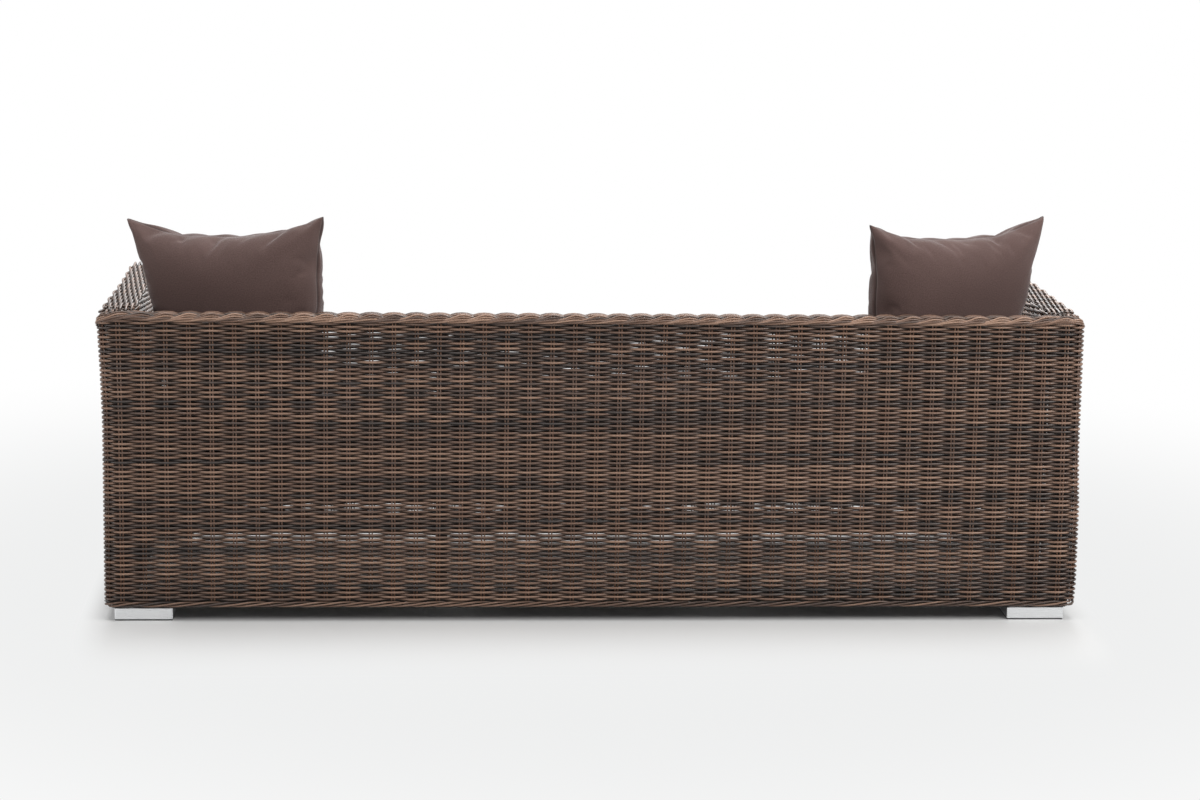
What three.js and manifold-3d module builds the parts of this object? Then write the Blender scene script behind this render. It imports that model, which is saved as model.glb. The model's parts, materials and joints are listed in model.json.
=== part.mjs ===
// Rattan garden sofa: a box-shaped lounge sofa of woven round resin strands over a welded
// aluminium tube frame, with flat metal feet, lift-off seat cushions and two scatter cushions.
// Millimetres, +Z up, +X to the right as seen from the front, +Y towards the back.
// The origin is the middle of the footprint, on the floor.

import * as THREE from 'three';
import { mergeVertices } from 'three/addons/utils/BufferGeometryUtils.js';
import Module from 'manifold-3d';

// Driving dimensions: the body
const width = 2100;
const depth = 800;
const bodyHeight = 668;
const deckHeight = 300;
const cornerRadius = 25;
const innerCornerRadius = 6;
const topEdgeRadius = 15;

// Driving dimensions: the strands, which set how thick a woven skin is
const weaverDiameter = 5;
const stakeDiameter = 3.5;
const stakePitch = 48;
const borderHeight = 17;

// Driving dimensions: the frame tubes
const tubeSide = 50;
const railHeight = 25;
const tubeWall = 2;
const slimSide = 25;
const seatRailHeight = 40;
const seatTubeWall = 1.5;
const backPostCount = 2;
const crossBarCount = 3;

// Driving dimensions: the feet
const footLength = 124;
const footDepth = 100;
const footHeight = 26;
const footSideInset = 24;
const footEndInset = 12;
const footEdge = 1.5;
const gliderThickness = 2;
const gliderInset = 1;
const boltDiameter = 8;
const boltHeadDiameter = 13;
const boltHeadHeight = 6;
const boltGrip = 12;
const boltInset = 41;
const boltClearance = 0.3;

// Driving dimensions: the seat cushions
const seatCushionCount = 3;
const seatCushionThickness = 98;
const seatCushionCrown = 12;
const seatCushionDrawIn = 6;
const seatCushionEdge = 14;
const seatCushionOverhang = 5;
const seatSideClearance = 3;
const seatCushionGap = 1;

// Driving dimensions: the scatter cushions
const scatterTopWidth = 436;
const scatterBottomWidth = 386;
const scatterHeight = 440;
const scatterCrown = 72;
const scatterSeam = 4;
const scatterDrawIn = 36;
const scatterTurn = 20;
const scatterLean = 5;
const scatterRoll = 2.5;
const scatterArmClearance = 20;

// Clearances and overruns
const seatGap = 0.3;
const cutOverrun = 10;

// Counts of facets
const arcDivisions = 3;
const edgeSegments = 4;
const roundSegments = 20;
const ribFacets = 4;

// Worked out from the sizes above
const weaverSwing = (weaverDiameter + stakeDiameter) / 2;
const weaveThickness = 2 * weaverDiameter + stakeDiameter;
const wallThickness = tubeSide + 2 * (weaveThickness + seatGap);
const footTop = gliderThickness + footHeight;
const weaveBottom = footTop + seatGap;
const borderTop = weaveBottom + borderHeight;
const shoulderHeight = bodyHeight - topEdgeRadius;
const frameTop = bodyHeight - weaveThickness - seatGap;
const deckUnderside = deckHeight - weaveThickness - seatGap;
const outerX = width / 2;
const outerY = depth / 2;
const armInnerX = outerX - wallThickness;
const backInnerY = outerY - wallThickness;
const coreX = outerX - weaveThickness - seatGap;
const coreY = outerY - weaveThickness - seatGap;
const armTubeX = coreX - tubeSide / 2;
const backTubeY = coreY - tubeSide / 2;
const innerCoreX = coreX - tubeSide;
const innerCoreY = coreY - tubeSide;
const cornerX = outerX - cornerRadius;
const cornerY = outerY - cornerRadius;

const wasm = await Module();
wasm.setup();

const sofa = new THREE.Group();
sofa.name = 'rattan_garden_sofa';

const weaveMaterial = { color: 0x5b4940, roughness: 0.5, metalness: 0 };
const braidMaterial = { color: 0x6a564c, roughness: 0.5, metalness: 0 };
const tubeMaterial = { color: 0x4a4543, roughness: 0.45, metalness: 0.6 };
const footMaterial = { color: 0xc9cccd, roughness: 0.28, metalness: 0.9 };
const gliderMaterial = { color: 0x1d1d1e, roughness: 0.6, metalness: 0 };
const boltMaterial = { color: 0x9fa2a4, roughness: 0.35, metalness: 1 };
const seatFabric = { color: 0x5d473f, roughness: 0.9, metalness: 0 };
const scatterFabric = { color: 0x5a423b, roughness: 0.9, metalness: 0 };

// Adds one named piece of the sofa, with a finish of its own.
function addPiece(name, geometry, finish, position = [0, 0, 0]) {
  const mesh = new THREE.Mesh(geometry, new THREE.MeshStandardMaterial(finish));
  mesh.name = name;
  mesh.position.set(...position);
  sofa.add(mesh);
}

// Turns a closed geometry into a solid that can be joined and cut.
function toSolid(geometry) {
  const bare = geometry.clone();
  bare.deleteAttribute('normal');
  bare.deleteAttribute('uv');
  const merged = mergeVertices(bare.index ? bare.toNonIndexed() : bare);
  return new wasm.Manifold(new wasm.Mesh({
    numProp: 3,
    vertProperties: merged.attributes.position.array,
    triVerts: new Uint32Array(merged.index.array),
  }));
}

// Turns a solid back into a geometry.
function toGeometry(solid) {
  const mesh = solid.getMesh();
  const geometry = new THREE.BufferGeometry();
  geometry.setAttribute('position', new THREE.BufferAttribute(mesh.vertProperties, mesh.numProp));
  geometry.setIndex(new THREE.BufferAttribute(mesh.triVerts, 1));
  geometry.computeVertexNormals();
  return geometry;
}

// A block between two opposite corners, as a solid.
function blockSolid([x0, y0, z0], [x1, y1, z1]) {
  const geometry = new THREE.BoxGeometry(Math.abs(x1 - x0), Math.abs(y1 - y0), Math.abs(z1 - z0));
  geometry.translate((x0 + x1) / 2, (y0 + y1) / 2, (z0 + z1) / 2);
  return toSolid(geometry);
}

// The points of a straight woven side. The weavers stand out over each pair of stakes and swing
// in between one pair and the next. Along x a pair stands at the middle of the sofa, and along y
// half a pitch from it.
function ribbedSide(start, finish) {
  const along = finish.clone().sub(start).normalize();
  const inward = new THREE.Vector2(-along.y, along.x);
  const phase = Math.abs(along.x) > Math.abs(along.y) ? 0 : stakePitch / 2;
  const from = start.dot(along);
  const to = finish.dot(along);
  const step = stakePitch / ribFacets;
  const margin = weaverDiameter / 2;
  const points = [];
  for (let mark = Math.ceil((from + margin) / step) * step; mark < to - margin; mark += step) {
    const drawnIn = weaverSwing * (1 - Math.abs(Math.cos(Math.PI * (mark - phase) / stakePitch)));
    const onSide = start.clone().addScaledVector(along, mark - from);
    points.push(onSide.addScaledVector(inward, drawnIn));
  }
  return points;
}

// A closed outline of square corners, each rounded by its own radius, with ribs or plain sides.
function roundedOutline(corners, ribbed = false) {
  const outline = new THREE.Shape();
  const drawSide = (finish) => {
    const ribs = ribbed ? ribbedSide(outline.currentPoint.clone(), finish) : [];
    for (const point of ribs) outline.lineTo(point.x, point.y);
  };
  let opening;
  corners.forEach(([x, y, radius], index) => {
    const before = corners[(index + corners.length - 1) % corners.length];
    const after = corners[(index + 1) % corners.length];
    const here = new THREE.Vector2(x, y);
    const back = new THREE.Vector2(before[0], before[1]).sub(here).normalize();
    const ahead = new THREE.Vector2(after[0], after[1]).sub(here).normalize();
    const start = here.clone().addScaledVector(back, radius);
    const finish = here.clone().addScaledVector(ahead, radius);
    const centre = start.clone().addScaledVector(ahead, radius);
    if (index === 0) {
      opening = start;
      outline.moveTo(start.x, start.y);
    } else {
      drawSide(start);
      outline.lineTo(start.x, start.y);
    }
    const startAngle = Math.atan2(start.y - centre.y, start.x - centre.x);
    const finishAngle = Math.atan2(finish.y - centre.y, finish.x - centre.x);
    const clockwise = back.cross(ahead) > 0;
    outline.absarc(centre.x, centre.y, radius, startAngle, finishAngle, clockwise);
  });
  drawSide(opening);
  outline.closePath();
  return outline;
}

// An upright solid over an outline, its top edge rounded. It runs on below its foot, to be cut.
function uprightSolid(outline, bottom, top, edgeRadius) {
  const geometry = new THREE.ExtrudeGeometry(outline, {
    depth: top - bottom,
    curveSegments: arcDivisions,
    bevelEnabled: true,
    bevelThickness: edgeRadius,
    bevelSize: edgeRadius,
    bevelOffset: -edgeRadius,
    bevelSegments: edgeSegments,
  });
  geometry.translate(0, 0, bottom - edgeRadius);
  return toSolid(geometry);
}

// A rectangular tube with open ends, lying along x, y or z, its middle at the origin.
function tubeGeometry(axis, length, across, tall, wall) {
  const rectangle = (path, halfWidth, halfHeight) => {
    path.moveTo(-halfWidth, -halfHeight);
    path.lineTo(halfWidth, -halfHeight);
    path.lineTo(halfWidth, halfHeight);
    path.lineTo(-halfWidth, halfHeight);
    path.closePath();
    return path;
  };
  const section = rectangle(new THREE.Shape(), across / 2, tall / 2);
  section.holes.push(rectangle(new THREE.Path(), across / 2 - wall, tall / 2 - wall));
  const geometry = new THREE.ExtrudeGeometry(section, { depth: length, bevelEnabled: false });
  geometry.translate(0, 0, -length / 2);
  if (axis === 'x') {
    geometry.rotateZ(Math.PI / 2);
    geometry.rotateY(Math.PI / 2);
  }
  if (axis === 'y') geometry.rotateX(-Math.PI / 2);
  return geometry;
}

// The woven body as two nested forms: what the strands wrap, and their outside.
function wallsOutline(inset, ribbed = false) {
  const x = outerX - inset;
  const y = outerY - inset;
  const armX = armInnerX + inset;
  const backY = backInnerY + inset;
  const outside = cornerRadius - inset;
  return roundedOutline([
    [x, -y, outside],
    [x, y, outside],
    [-x, y, outside],
    [-x, -y, outside],
    [-armX, -y, outside],
    [-armX, backY, innerCornerRadius + inset],
    [armX, backY, innerCornerRadius + inset],
    [armX, -y, outside],
  ], ribbed);
}

function seatOutline(inset, ribbed = false) {
  const x = outerX - inset;
  const y = outerY - inset;
  const radius = cornerRadius - inset;
  const corners = [[x, -y, radius], [x, y, radius], [-x, y, radius], [-x, -y, radius]];
  return roundedOutline(corners, ribbed);
}

function bodyForm(inset) {
  const edge = topEdgeRadius - inset;
  const walls = uprightSolid(wallsOutline(inset), footTop, bodyHeight - inset, edge);
  const seat = uprightSolid(seatOutline(inset), footTop, deckHeight - inset, edge);
  return walls.add(seat);
}

const wovenSkin = bodyForm(0).subtract(bodyForm(weaveThickness));
const frameForm = bodyForm(weaveThickness + seatGap);

// The upright panels keep only what lies inside the ribs that the pairs of stakes raise.
function ribbedSolid(outline, top) {
  const geometry = new THREE.ExtrudeGeometry(outline, {
    depth: top - footTop,
    curveSegments: arcDivisions,
    bevelEnabled: false,
  });
  geometry.translate(0, 0, footTop);
  return toSolid(geometry);
}

const ribbedWalls = ribbedSolid(wallsOutline(0, true), bodyHeight + cutOverrun);
const ribbedSeat = ribbedSolid(seatOutline(0, true), deckHeight + cutOverrun);
const ribbedSkin = wovenSkin.intersect(ribbedWalls);
const ribbedFrontSkin = wovenSkin.intersect(ribbedWalls.add(ribbedSeat));

// Places that divide a span evenly, its middle at zero.
function evenPlaces(count, span) {
  return Array.from({ length: count }, (_, index) => span * ((index + 1) / (count + 1) - 1 / 2));
}

// Adds a piece of the frame, its outer corners rounded off inside the weave.
function addFramePiece(name, geometry, place) {
  const placed = toSolid(geometry.translate(...place));
  const trimmed = toGeometry(placed.intersect(frameForm));
  trimmed.translate(...place.map((value) => -value));
  addPiece(name, trimmed, tubeMaterial, place);
}

// The frame's top rails lie on the posts: one along the back, one along each arm.
const sides = [['left', -1], ['right', 1]];
const ends = [['rear', 1], ['front', -1]];
const topRailZ = frameTop - railHeight / 2;
const backTopRail = tubeGeometry('x', 2 * coreX, tubeSide, railHeight, tubeWall);
addFramePiece('back_top_rail', backTopRail, [0, backTubeY, topRailZ]);

const armRailLength = innerCoreY + coreY;
for (const [side, sign] of sides) {
  const rail = tubeGeometry('y', armRailLength, tubeSide, railHeight, tubeWall);
  const middleY = (innerCoreY - coreY) / 2;
  addFramePiece(`${side}_arm_top_rail`, rail, [sign * armTubeX, middleY, topRailZ]);
}

// Square posts stand at the four corners, on the feet.
const postTop = frameTop - railHeight;
for (const [end, endSign] of ends) {
  for (const [side, sign] of sides) {
    const post = tubeGeometry('z', postTop - footTop, tubeSide, tubeSide, tubeWall);
    const place = [sign * armTubeX, endSign * backTubeY, (postTop + footTop) / 2];
    addFramePiece(`${end}_${side}_corner_post`, post, place);
  }
}

// Slim posts stiffen the back and the arms, between the bottom and the top rails.
const slimPostBottom = footTop + railHeight;
const slimPostLength = postTop - slimPostBottom;
const slimPostZ = (postTop + slimPostBottom) / 2;
for (const [index, x] of evenPlaces(backPostCount, 2 * innerCoreX).entries()) {
  const post = tubeGeometry('z', slimPostLength, slimSide, tubeSide, tubeWall);
  addPiece(`back_post_${index + 1}`, post, tubeMaterial, [x, backTubeY, slimPostZ]);
}
for (const [side, sign] of sides) {
  const armPost = tubeGeometry('z', slimPostLength, tubeSide, slimSide, tubeWall);
  addPiece(`${side}_arm_middle_post`, armPost, tubeMaterial, [sign * armTubeX, 0, slimPostZ]);
}

// The bottom rails run between the corner posts. Those at the back and front take the foot bolts.
const bottomRailZ = footTop + railHeight / 2;
const boltX = outerX - footSideInset - footLength + boltInset;
const boltHole = new THREE.CylinderGeometry(
  boltDiameter / 2 + boltClearance,
  boltDiameter / 2 + boltClearance,
  footHeight + gliderThickness + railHeight,
  roundSegments,
);
boltHole.rotateX(Math.PI / 2);
for (const [end, endSign] of ends) {
  let rail = toSolid(tubeGeometry('x', 2 * innerCoreX, tubeSide, railHeight, tubeWall));
  for (const sign of [-1, 1]) {
    const hole = boltHole.clone().translate(sign * boltX, 0, -railHeight);
    rail = rail.subtract(toSolid(hole));
  }
  const place = [0, endSign * backTubeY, bottomRailZ];
  addPiece(`${end}_bottom_rail`, toGeometry(rail), tubeMaterial, place);
}
for (const [side, sign] of sides) {
  const rail = tubeGeometry('y', 2 * innerCoreY, tubeSide, railHeight, tubeWall);
  addPiece(`${side}_bottom_rail`, rail, tubeMaterial, [sign * armTubeX, 0, bottomRailZ]);
}

// The seat frame lies right under the woven deck: four rails, with cross bars between them.
const seatRailZ = deckUnderside - seatRailHeight / 2;
const seatTube = (axis, length) =>
  tubeGeometry(axis, length, slimSide, seatRailHeight, seatTubeWall);
const frontRailY = -(coreY - slimSide / 2);
const rearRailY = innerCoreY - slimSide / 2;
addFramePiece('front_seat_rail', seatTube('x', 2 * innerCoreX), [0, frontRailY, seatRailZ]);
addPiece('rear_seat_rail', seatTube('x', 2 * innerCoreX), tubeMaterial, [0, rearRailY, seatRailZ]);
const seatBarLength = rearRailY - frontRailY - slimSide;
const seatBarY = (rearRailY + frontRailY) / 2;
for (const [side, sign] of sides) {
  const place = [sign * (innerCoreX - slimSide / 2), seatBarY, seatRailZ];
  addPiece(`${side}_seat_rail`, seatTube('y', seatBarLength), tubeMaterial, place);
}
for (const [index, x] of evenPlaces(crossBarCount, 2 * innerCoreX).entries()) {
  const bar = seatTube('y', seatBarLength);
  addPiece(`seat_cross_bar_${index + 1}`, bar, tubeMaterial, [x, seatBarY, seatRailZ]);
}

// Each foot is a flat metal block on a plastic glider, bolted up into the bottom rail.
const footX = outerX - footSideInset - footLength / 2;
const footY = outerY - footEndInset - footDepth / 2;
const boltHeadHole = new THREE.CylinderGeometry(
  boltHeadDiameter / 2 + boltClearance,
  boltHeadDiameter / 2 + boltClearance,
  2 * (gliderThickness + boltHeadHeight + boltClearance),
  roundSegments,
);
boltHeadHole.rotateX(Math.PI / 2);

function flatBlock(length, across, height, edge) {
  const half = [length / 2, across / 2];
  const outline = roundedOutline([
    [half[0], half[1], 2 * edge],
    [-half[0], half[1], 2 * edge],
    [-half[0], -half[1], 2 * edge],
    [half[0], -half[1], 2 * edge],
  ]);
  const geometry = new THREE.ExtrudeGeometry(outline, {
    depth: height - 2 * edge,
    curveSegments: arcDivisions,
    bevelEnabled: true,
    bevelThickness: edge,
    bevelSize: edge,
    bevelOffset: -edge,
    bevelSegments: 1,
  });
  geometry.translate(0, 0, edge);
  return geometry;
}

function boltGeometry() {
  const shank = boltDiameter / 2;
  const head = boltHeadDiameter / 2;
  const bottom = gliderThickness;
  const underHead = bottom + boltHeadHeight;
  const tip = footTop + boltGrip;
  const profile = [[0, bottom], [head, bottom], [head, underHead], [shank, underHead]]
    .concat([[shank, tip], [0, tip]])
    .map(([radius, z]) => new THREE.Vector2(radius, z));
  const geometry = new THREE.LatheGeometry(profile, roundSegments);
  geometry.rotateX(Math.PI / 2);
  return geometry;
}

for (const [end, endSign] of ends) {
  for (const [side, sign] of sides) {
    const place = [sign * footX, endSign * footY];
    const boltPlace = [sign * boltX, endSign * backTubeY];
    const intoFoot = [boltPlace[0] - place[0], boltPlace[1] - place[1]];
    const shankHole = toSolid(boltHole.clone().translate(...intoFoot, 0));
    const headHole = toSolid(boltHeadHole.clone().translate(...intoFoot, 0));
    const foot = toSolid(flatBlock(footLength, footDepth, footHeight, footEdge))
      .subtract(shankHole)
      .subtract(toSolid(boltHeadHole.clone().translate(...intoFoot, -gliderThickness)));
    addPiece(`${end}_${side}_foot`, toGeometry(foot), footMaterial, [...place, gliderThickness]);
    const glider = toSolid(flatBlock(
      footLength - 2 * gliderInset,
      footDepth - 2 * gliderInset,
      gliderThickness,
      gliderThickness / 4,
    )).subtract(headHole);
    addPiece(`${end}_${side}_glider`, toGeometry(glider), gliderMaterial, [...place, 0]);
    addPiece(`${end}_${side}_foot_bolt`, boltGeometry(), boltMaterial, [...boltPlace, 0]);
  }
}

// Cuts one panel out of a woven skin.
function addWeave(name, skin, lowCorner, highCorner, finish = weaveMaterial) {
  const panel = skin.intersect(blockSolid(lowCorner, highCorner));
  addPiece(name, toGeometry(panel), finish);
}

const pastX = outerX + cutOverrun;
const pastY = outerY + cutOverrun;
const pastTop = bodyHeight + cutOverrun;
const panelBottom = borderTop + seatGap;
const panelTop = shoulderHeight - seatGap;
const overDeck = deckHeight + seatGap;
const sideFrontY = -cornerY + seatGap;
const sideRearY = cornerY - seatGap;

// Back: outer and inner skins, with the braided border over the top from corner to corner.
const outerLow = [-pastX, cornerY, panelBottom];
addWeave('back_outer_weave', ribbedSkin, outerLow, [pastX, pastY, panelTop]);
const backWeaveX = armInnerX + weaveThickness;
const backWeaveY = backInnerY + weaveThickness;
const backFrontY = backInnerY - innerCornerRadius;
const innerLow = [-backWeaveX, backFrontY, overDeck];
addWeave('back_inner_weave', ribbedSkin, innerLow, [backWeaveX, backWeaveY, panelTop]);
const braidLow = [-pastX, backFrontY, shoulderHeight];
addWeave('back_top_braid', wovenSkin, braidLow, [pastX, pastY, pastTop], braidMaterial);
const rearBorderLow = [-pastX, cornerY, weaveBottom];
addWeave('rear_bottom_border', wovenSkin, rearBorderLow, [pastX, pastY, borderTop], braidMaterial);

// Arms: outer, inner and top skins, with a closed front end.
for (const [side, sign] of sides) {
  const outsideX = sign * cornerX;
  const insideX = sign * (armInnerX + weaveThickness);
  const armRearY = backFrontY - seatGap;
  addWeave(
    `${side}_arm_outer_weave`,
    ribbedSkin,
    [outsideX, sideFrontY, panelBottom],
    [sign * pastX, sideRearY, panelTop],
  );
  addWeave(
    `${side}_arm_inner_weave`,
    ribbedSkin,
    [sign * (armInnerX - cutOverrun), sideFrontY, overDeck],
    [insideX, armRearY, panelTop],
  );
  addWeave(
    `${side}_arm_top_weave`,
    wovenSkin,
    [sign * (armInnerX - cutOverrun), sideFrontY, shoulderHeight],
    [sign * pastX, armRearY, pastTop],
  );
  addWeave(
    `${side}_arm_front_weave`,
    ribbedFrontSkin,
    [sign * armInnerX, -pastY, panelBottom],
    [sign * pastX, -cornerY, pastTop],
  );
  addWeave(
    `${side}_bottom_border`,
    wovenSkin,
    [outsideX, sideFrontY, weaveBottom],
    [sign * pastX, sideRearY, borderTop],
    braidMaterial,
  );
}

// Front and seat: the panel under the cushions, its border, and the deck that carries them.
const frontPanelX = armInnerX - seatGap;
const frontLow = [-frontPanelX, -pastY, panelBottom];
addWeave('front_weave', ribbedFrontSkin, frontLow, [frontPanelX, -cornerY, deckHeight]);
const frontBorderLow = [-pastX, -pastY, weaveBottom];
addWeave('front_bottom_border', wovenSkin, frontBorderLow, [pastX, -cornerY, borderTop], braidMaterial);
const deckLow = [-backWeaveX, sideFrontY, deckUnderside - cutOverrun];
addWeave('seat_deck_weave', wovenSkin, deckLow, [backWeaveX, backWeaveY, deckHeight]);

// A padded block: a unit cube whose points are moved by a rule that takes u, v and w from -1 to 1.
function paddedGeometry(columns, rows, layers, place) {
  const cube = new THREE.BoxGeometry(2, 2, 2, columns, rows, layers);
  cube.deleteAttribute('normal');
  cube.deleteAttribute('uv');
  const geometry = mergeVertices(cube);
  const points = geometry.attributes.position;
  for (let index = 0; index < points.count; index += 1) {
    points.setXYZ(index, ...place(points.getX(index), points.getY(index), points.getZ(index)));
  }
  geometry.computeVertexNormals();
  return geometry;
}

// Seat cushions: foam pads with a crowned top, sides drawn in between the corners, soft edges.
const seatSpan = 2 * (armInnerX - seatSideClearance) - (seatCushionCount - 1) * seatCushionGap;
const seatCushionWidth = seatSpan / seatCushionCount;
const seatCushionRear = backInnerY - seatSideClearance;
const seatCushionFront = -(outerY - seatCushionOverhang);
const seatCushionDepth = seatCushionRear - seatCushionFront;
const seatCushionY = (seatCushionRear + seatCushionFront) / 2;
const seatCushionBase = deckHeight + seatGap;
const seatColumns = 14;
const seatLayers = 4;

// How far the pad's top stands over the plain thickness: its crown, less a soft drop at the edges.
function seatTopRise(u, v) {
  const crown = seatCushionCrown * (1 - u ** 4) * (1 - v ** 4);
  const edgeDrop = seatCushionEdge / 4 * Math.max(Math.abs(u), Math.abs(v)) ** 12;
  return crown - edgeDrop;
}

// Half the pad's width or depth at the share `across` of the other direction.
function seatHalfSpan(size, across, roundOff) {
  return size / 2 - seatCushionDrawIn * (1 - across * across) - roundOff;
}

function seatCushionPoint(u, v, w) {
  const roundOff = seatCushionEdge * (w ** 4 + Math.abs(u * v) ** 10 / 3);
  const x = u * seatHalfSpan(seatCushionWidth, v, roundOff);
  const y = v * seatHalfSpan(seatCushionDepth, u, roundOff);
  const z = seatCushionThickness * (w + 1) / 2 + Math.max(w, 0) * seatTopRise(u, v);
  return [x, y, z];
}

const seatNames = ['left_seat_cushion', 'middle_seat_cushion', 'right_seat_cushion'];
for (let index = 0; index < seatCushionCount; index += 1) {
  const fromMiddle = index - (seatCushionCount - 1) / 2;
  const x = fromMiddle * (seatCushionWidth + seatCushionGap);
  const pad = paddedGeometry(seatColumns, seatColumns, seatLayers, seatCushionPoint);
  const name = seatNames[index] ?? `seat_cushion_${index + 1}`;
  addPiece(name, pad, seatFabric, [x, seatCushionY, seatCushionBase]);
}

// The height of the outer seat cushions' top at a place on the sofa.
function seatTopAt(x, y) {
  const pitch = seatCushionWidth + seatCushionGap;
  const ownX = Math.abs(x) - pitch * (seatCushionCount - 1) / 2;
  const ownY = y - seatCushionY;
  const v = THREE.MathUtils.clamp(ownY / seatHalfSpan(seatCushionDepth, 1, seatCushionEdge), -1, 1);
  const u = THREE.MathUtils.clamp(ownX / seatHalfSpan(seatCushionWidth, v, seatCushionEdge), -1, 1);
  return seatCushionBase + seatCushionThickness + seatTopRise(u, v);
}

// Scatter cushions: knife-edged, crowned both ways, their sides pulled in between pointed tips.
// Each stands in a rear corner, turned to the middle. Its lower half is beside the arm, its
// back leans on the sofa's, and its outer top tip reaches over the arm.
const scatterColumns = 16;
function scatterPoint(u, v, w) {
  const heightShare = (v + 1) / 2;
  const halfWidth = THREE.MathUtils.lerp(scatterBottomWidth, scatterTopWidth, heightShare) / 2;
  const puff = ((1 - u * u) * (1 - v * v)) ** 0.6;
  const x = u * (halfWidth - scatterDrawIn * (1 - v * v));
  const z = v * (scatterHeight / 2 - scatterDrawIn * (1 - u * u));
  return [x, -w * (scatterSeam / 2 + scatterCrown * puff), z];
}

for (const [side, sign] of sides) {
  const pad = paddedGeometry(scatterColumns, scatterColumns, 1, scatterPoint);
  pad.rotateY(sign * THREE.MathUtils.degToRad(scatterRoll));
  pad.rotateX(-THREE.MathUtils.degToRad(scatterLean));
  pad.rotateZ(-sign * THREE.MathUtils.degToRad(scatterTurn));
  pad.computeBoundingBox();
  const points = pad.attributes.position;
  let reach = 0;
  for (let index = 0; index < points.count; index += 1) {
    if (points.getZ(index) < 0) reach = Math.max(reach, sign * points.getX(index));
  }
  const intoCorner = sign * (armInnerX - scatterArmClearance - reach);
  pad.translate(intoCorner, backInnerY - seatGap - pad.boundingBox.max.y, 0);
  let drop = Infinity;
  for (let index = 0; index < points.count; index += 1) {
    const rest = seatTopAt(points.getX(index), points.getY(index));
    drop = Math.min(drop, points.getZ(index) - rest);
  }
  pad.translate(0, 0, seatGap - drop);
  addPiece(`${side}_scatter_cushion`, pad, scatterFabric);
}

export default sofa;
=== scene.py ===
import json
import math

import bmesh
import bpy
import numpy as np
from mathutils import Matrix, Vector
from mathutils.bvhtree import BVHTree

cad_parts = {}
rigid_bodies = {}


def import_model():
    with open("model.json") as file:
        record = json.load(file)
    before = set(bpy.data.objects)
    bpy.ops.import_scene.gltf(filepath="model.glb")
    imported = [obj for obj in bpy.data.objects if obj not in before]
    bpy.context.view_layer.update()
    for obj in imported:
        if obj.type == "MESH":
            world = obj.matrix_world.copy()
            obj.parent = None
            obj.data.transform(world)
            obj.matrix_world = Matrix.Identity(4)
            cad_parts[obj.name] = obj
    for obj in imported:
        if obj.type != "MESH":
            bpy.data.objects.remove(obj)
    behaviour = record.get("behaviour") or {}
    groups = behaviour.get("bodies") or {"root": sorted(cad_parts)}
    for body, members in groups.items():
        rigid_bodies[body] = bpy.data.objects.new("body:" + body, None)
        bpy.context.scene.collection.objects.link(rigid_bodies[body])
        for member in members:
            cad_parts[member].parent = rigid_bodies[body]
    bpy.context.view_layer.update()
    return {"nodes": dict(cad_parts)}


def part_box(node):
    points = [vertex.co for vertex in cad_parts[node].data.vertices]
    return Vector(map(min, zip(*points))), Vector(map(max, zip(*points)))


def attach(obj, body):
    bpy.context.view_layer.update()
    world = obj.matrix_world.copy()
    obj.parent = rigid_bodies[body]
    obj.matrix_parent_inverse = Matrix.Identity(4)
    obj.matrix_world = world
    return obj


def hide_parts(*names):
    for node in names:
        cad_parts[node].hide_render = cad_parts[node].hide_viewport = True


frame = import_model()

# The welded frame: posts, rails and seat bars of square aluminium tube, under the weave.
# The tubes keep their CAD shape. They are powder-coated dark brown before the weaving, so
# that they don't shine through it.
COAT_DARK = (0.016, 0.012, 0.010, 1.0)
COAT_LIGHT = (0.030, 0.023, 0.019, 1.0)
FRAME_TUBES = [
    name for name in frame["nodes"]
    if name.endswith(("_rail", "_post")) or "_post_" in name or "_bar_" in name
]


def add_node(tree, kind, **settings):
    """A shader node with its settings and the values of its sockets."""
    node = tree.nodes.new("ShaderNode" + kind)
    for name, value in settings.items():
        if name in node.inputs:
            node.inputs[name].default_value = value
        else:
            setattr(node, name, value)
    return node


def start_material(name, roughness, metallic=0.0, specular=0.5):
    """A material, its node tree and its surface shader."""
    material = bpy.data.materials.new(name)
    material.use_nodes = True
    surface = material.node_tree.nodes["Principled BSDF"]
    surface.inputs["Roughness"].default_value = roughness
    surface.inputs["Metallic"].default_value = metallic
    surface.inputs["Specular IOR Level"].default_value = specular
    return material, material.node_tree, surface


def object_coords(tree, stretch=(1, 1, 1)):
    """The object's own coordinates, stretched along its axes."""
    coords = add_node(tree, "TexCoord")
    mapping = add_node(tree, "Mapping", Scale=stretch)
    tree.links.new(coords.outputs["Object"], mapping.inputs["Vector"])
    return mapping.outputs["Vector"]


def speckle(tree, where, scale, detail=3.0, roughness=0.55):
    """Noise from 0 to 1 at a place."""
    noise = add_node(tree, "TexNoise", Scale=scale, Detail=detail, Roughness=roughness)
    tree.links.new(where, noise.inputs["Vector"])
    return noise.outputs["Fac"]


def shade_between(tree, share, low, high):
    """A colour between two, by a share from 0 to 1."""
    mix = add_node(tree, "Mix", data_type="RGBA")
    mix.inputs[6].default_value = low
    mix.inputs[7].default_value = high
    tree.links.new(share, mix.inputs[0])
    return mix.outputs[2]


def spread_to(tree, share, low, high, start=0.3, end=0.7):
    """A number that goes from low to high while the share goes from start to end."""
    spread = add_node(tree, "MapRange")
    spread.inputs["From Min"].default_value = start
    spread.inputs["From Max"].default_value = end
    spread.inputs["To Min"].default_value = low
    spread.inputs["To Max"].default_value = high
    tree.links.new(share, spread.inputs["Value"])
    return spread.outputs["Result"]


def paint(tree, surface, share, low, high):
    """Colours a surface between two shades, by a share from 0 to 1."""
    tree.links.new(shade_between(tree, share, low, high), surface.inputs["Base Color"])


def roughen(tree, surface, share, low, high):
    """A roughness that follows a share from 0 to 1."""
    tree.links.new(spread_to(tree, share, low, high), surface.inputs["Roughness"])


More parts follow.
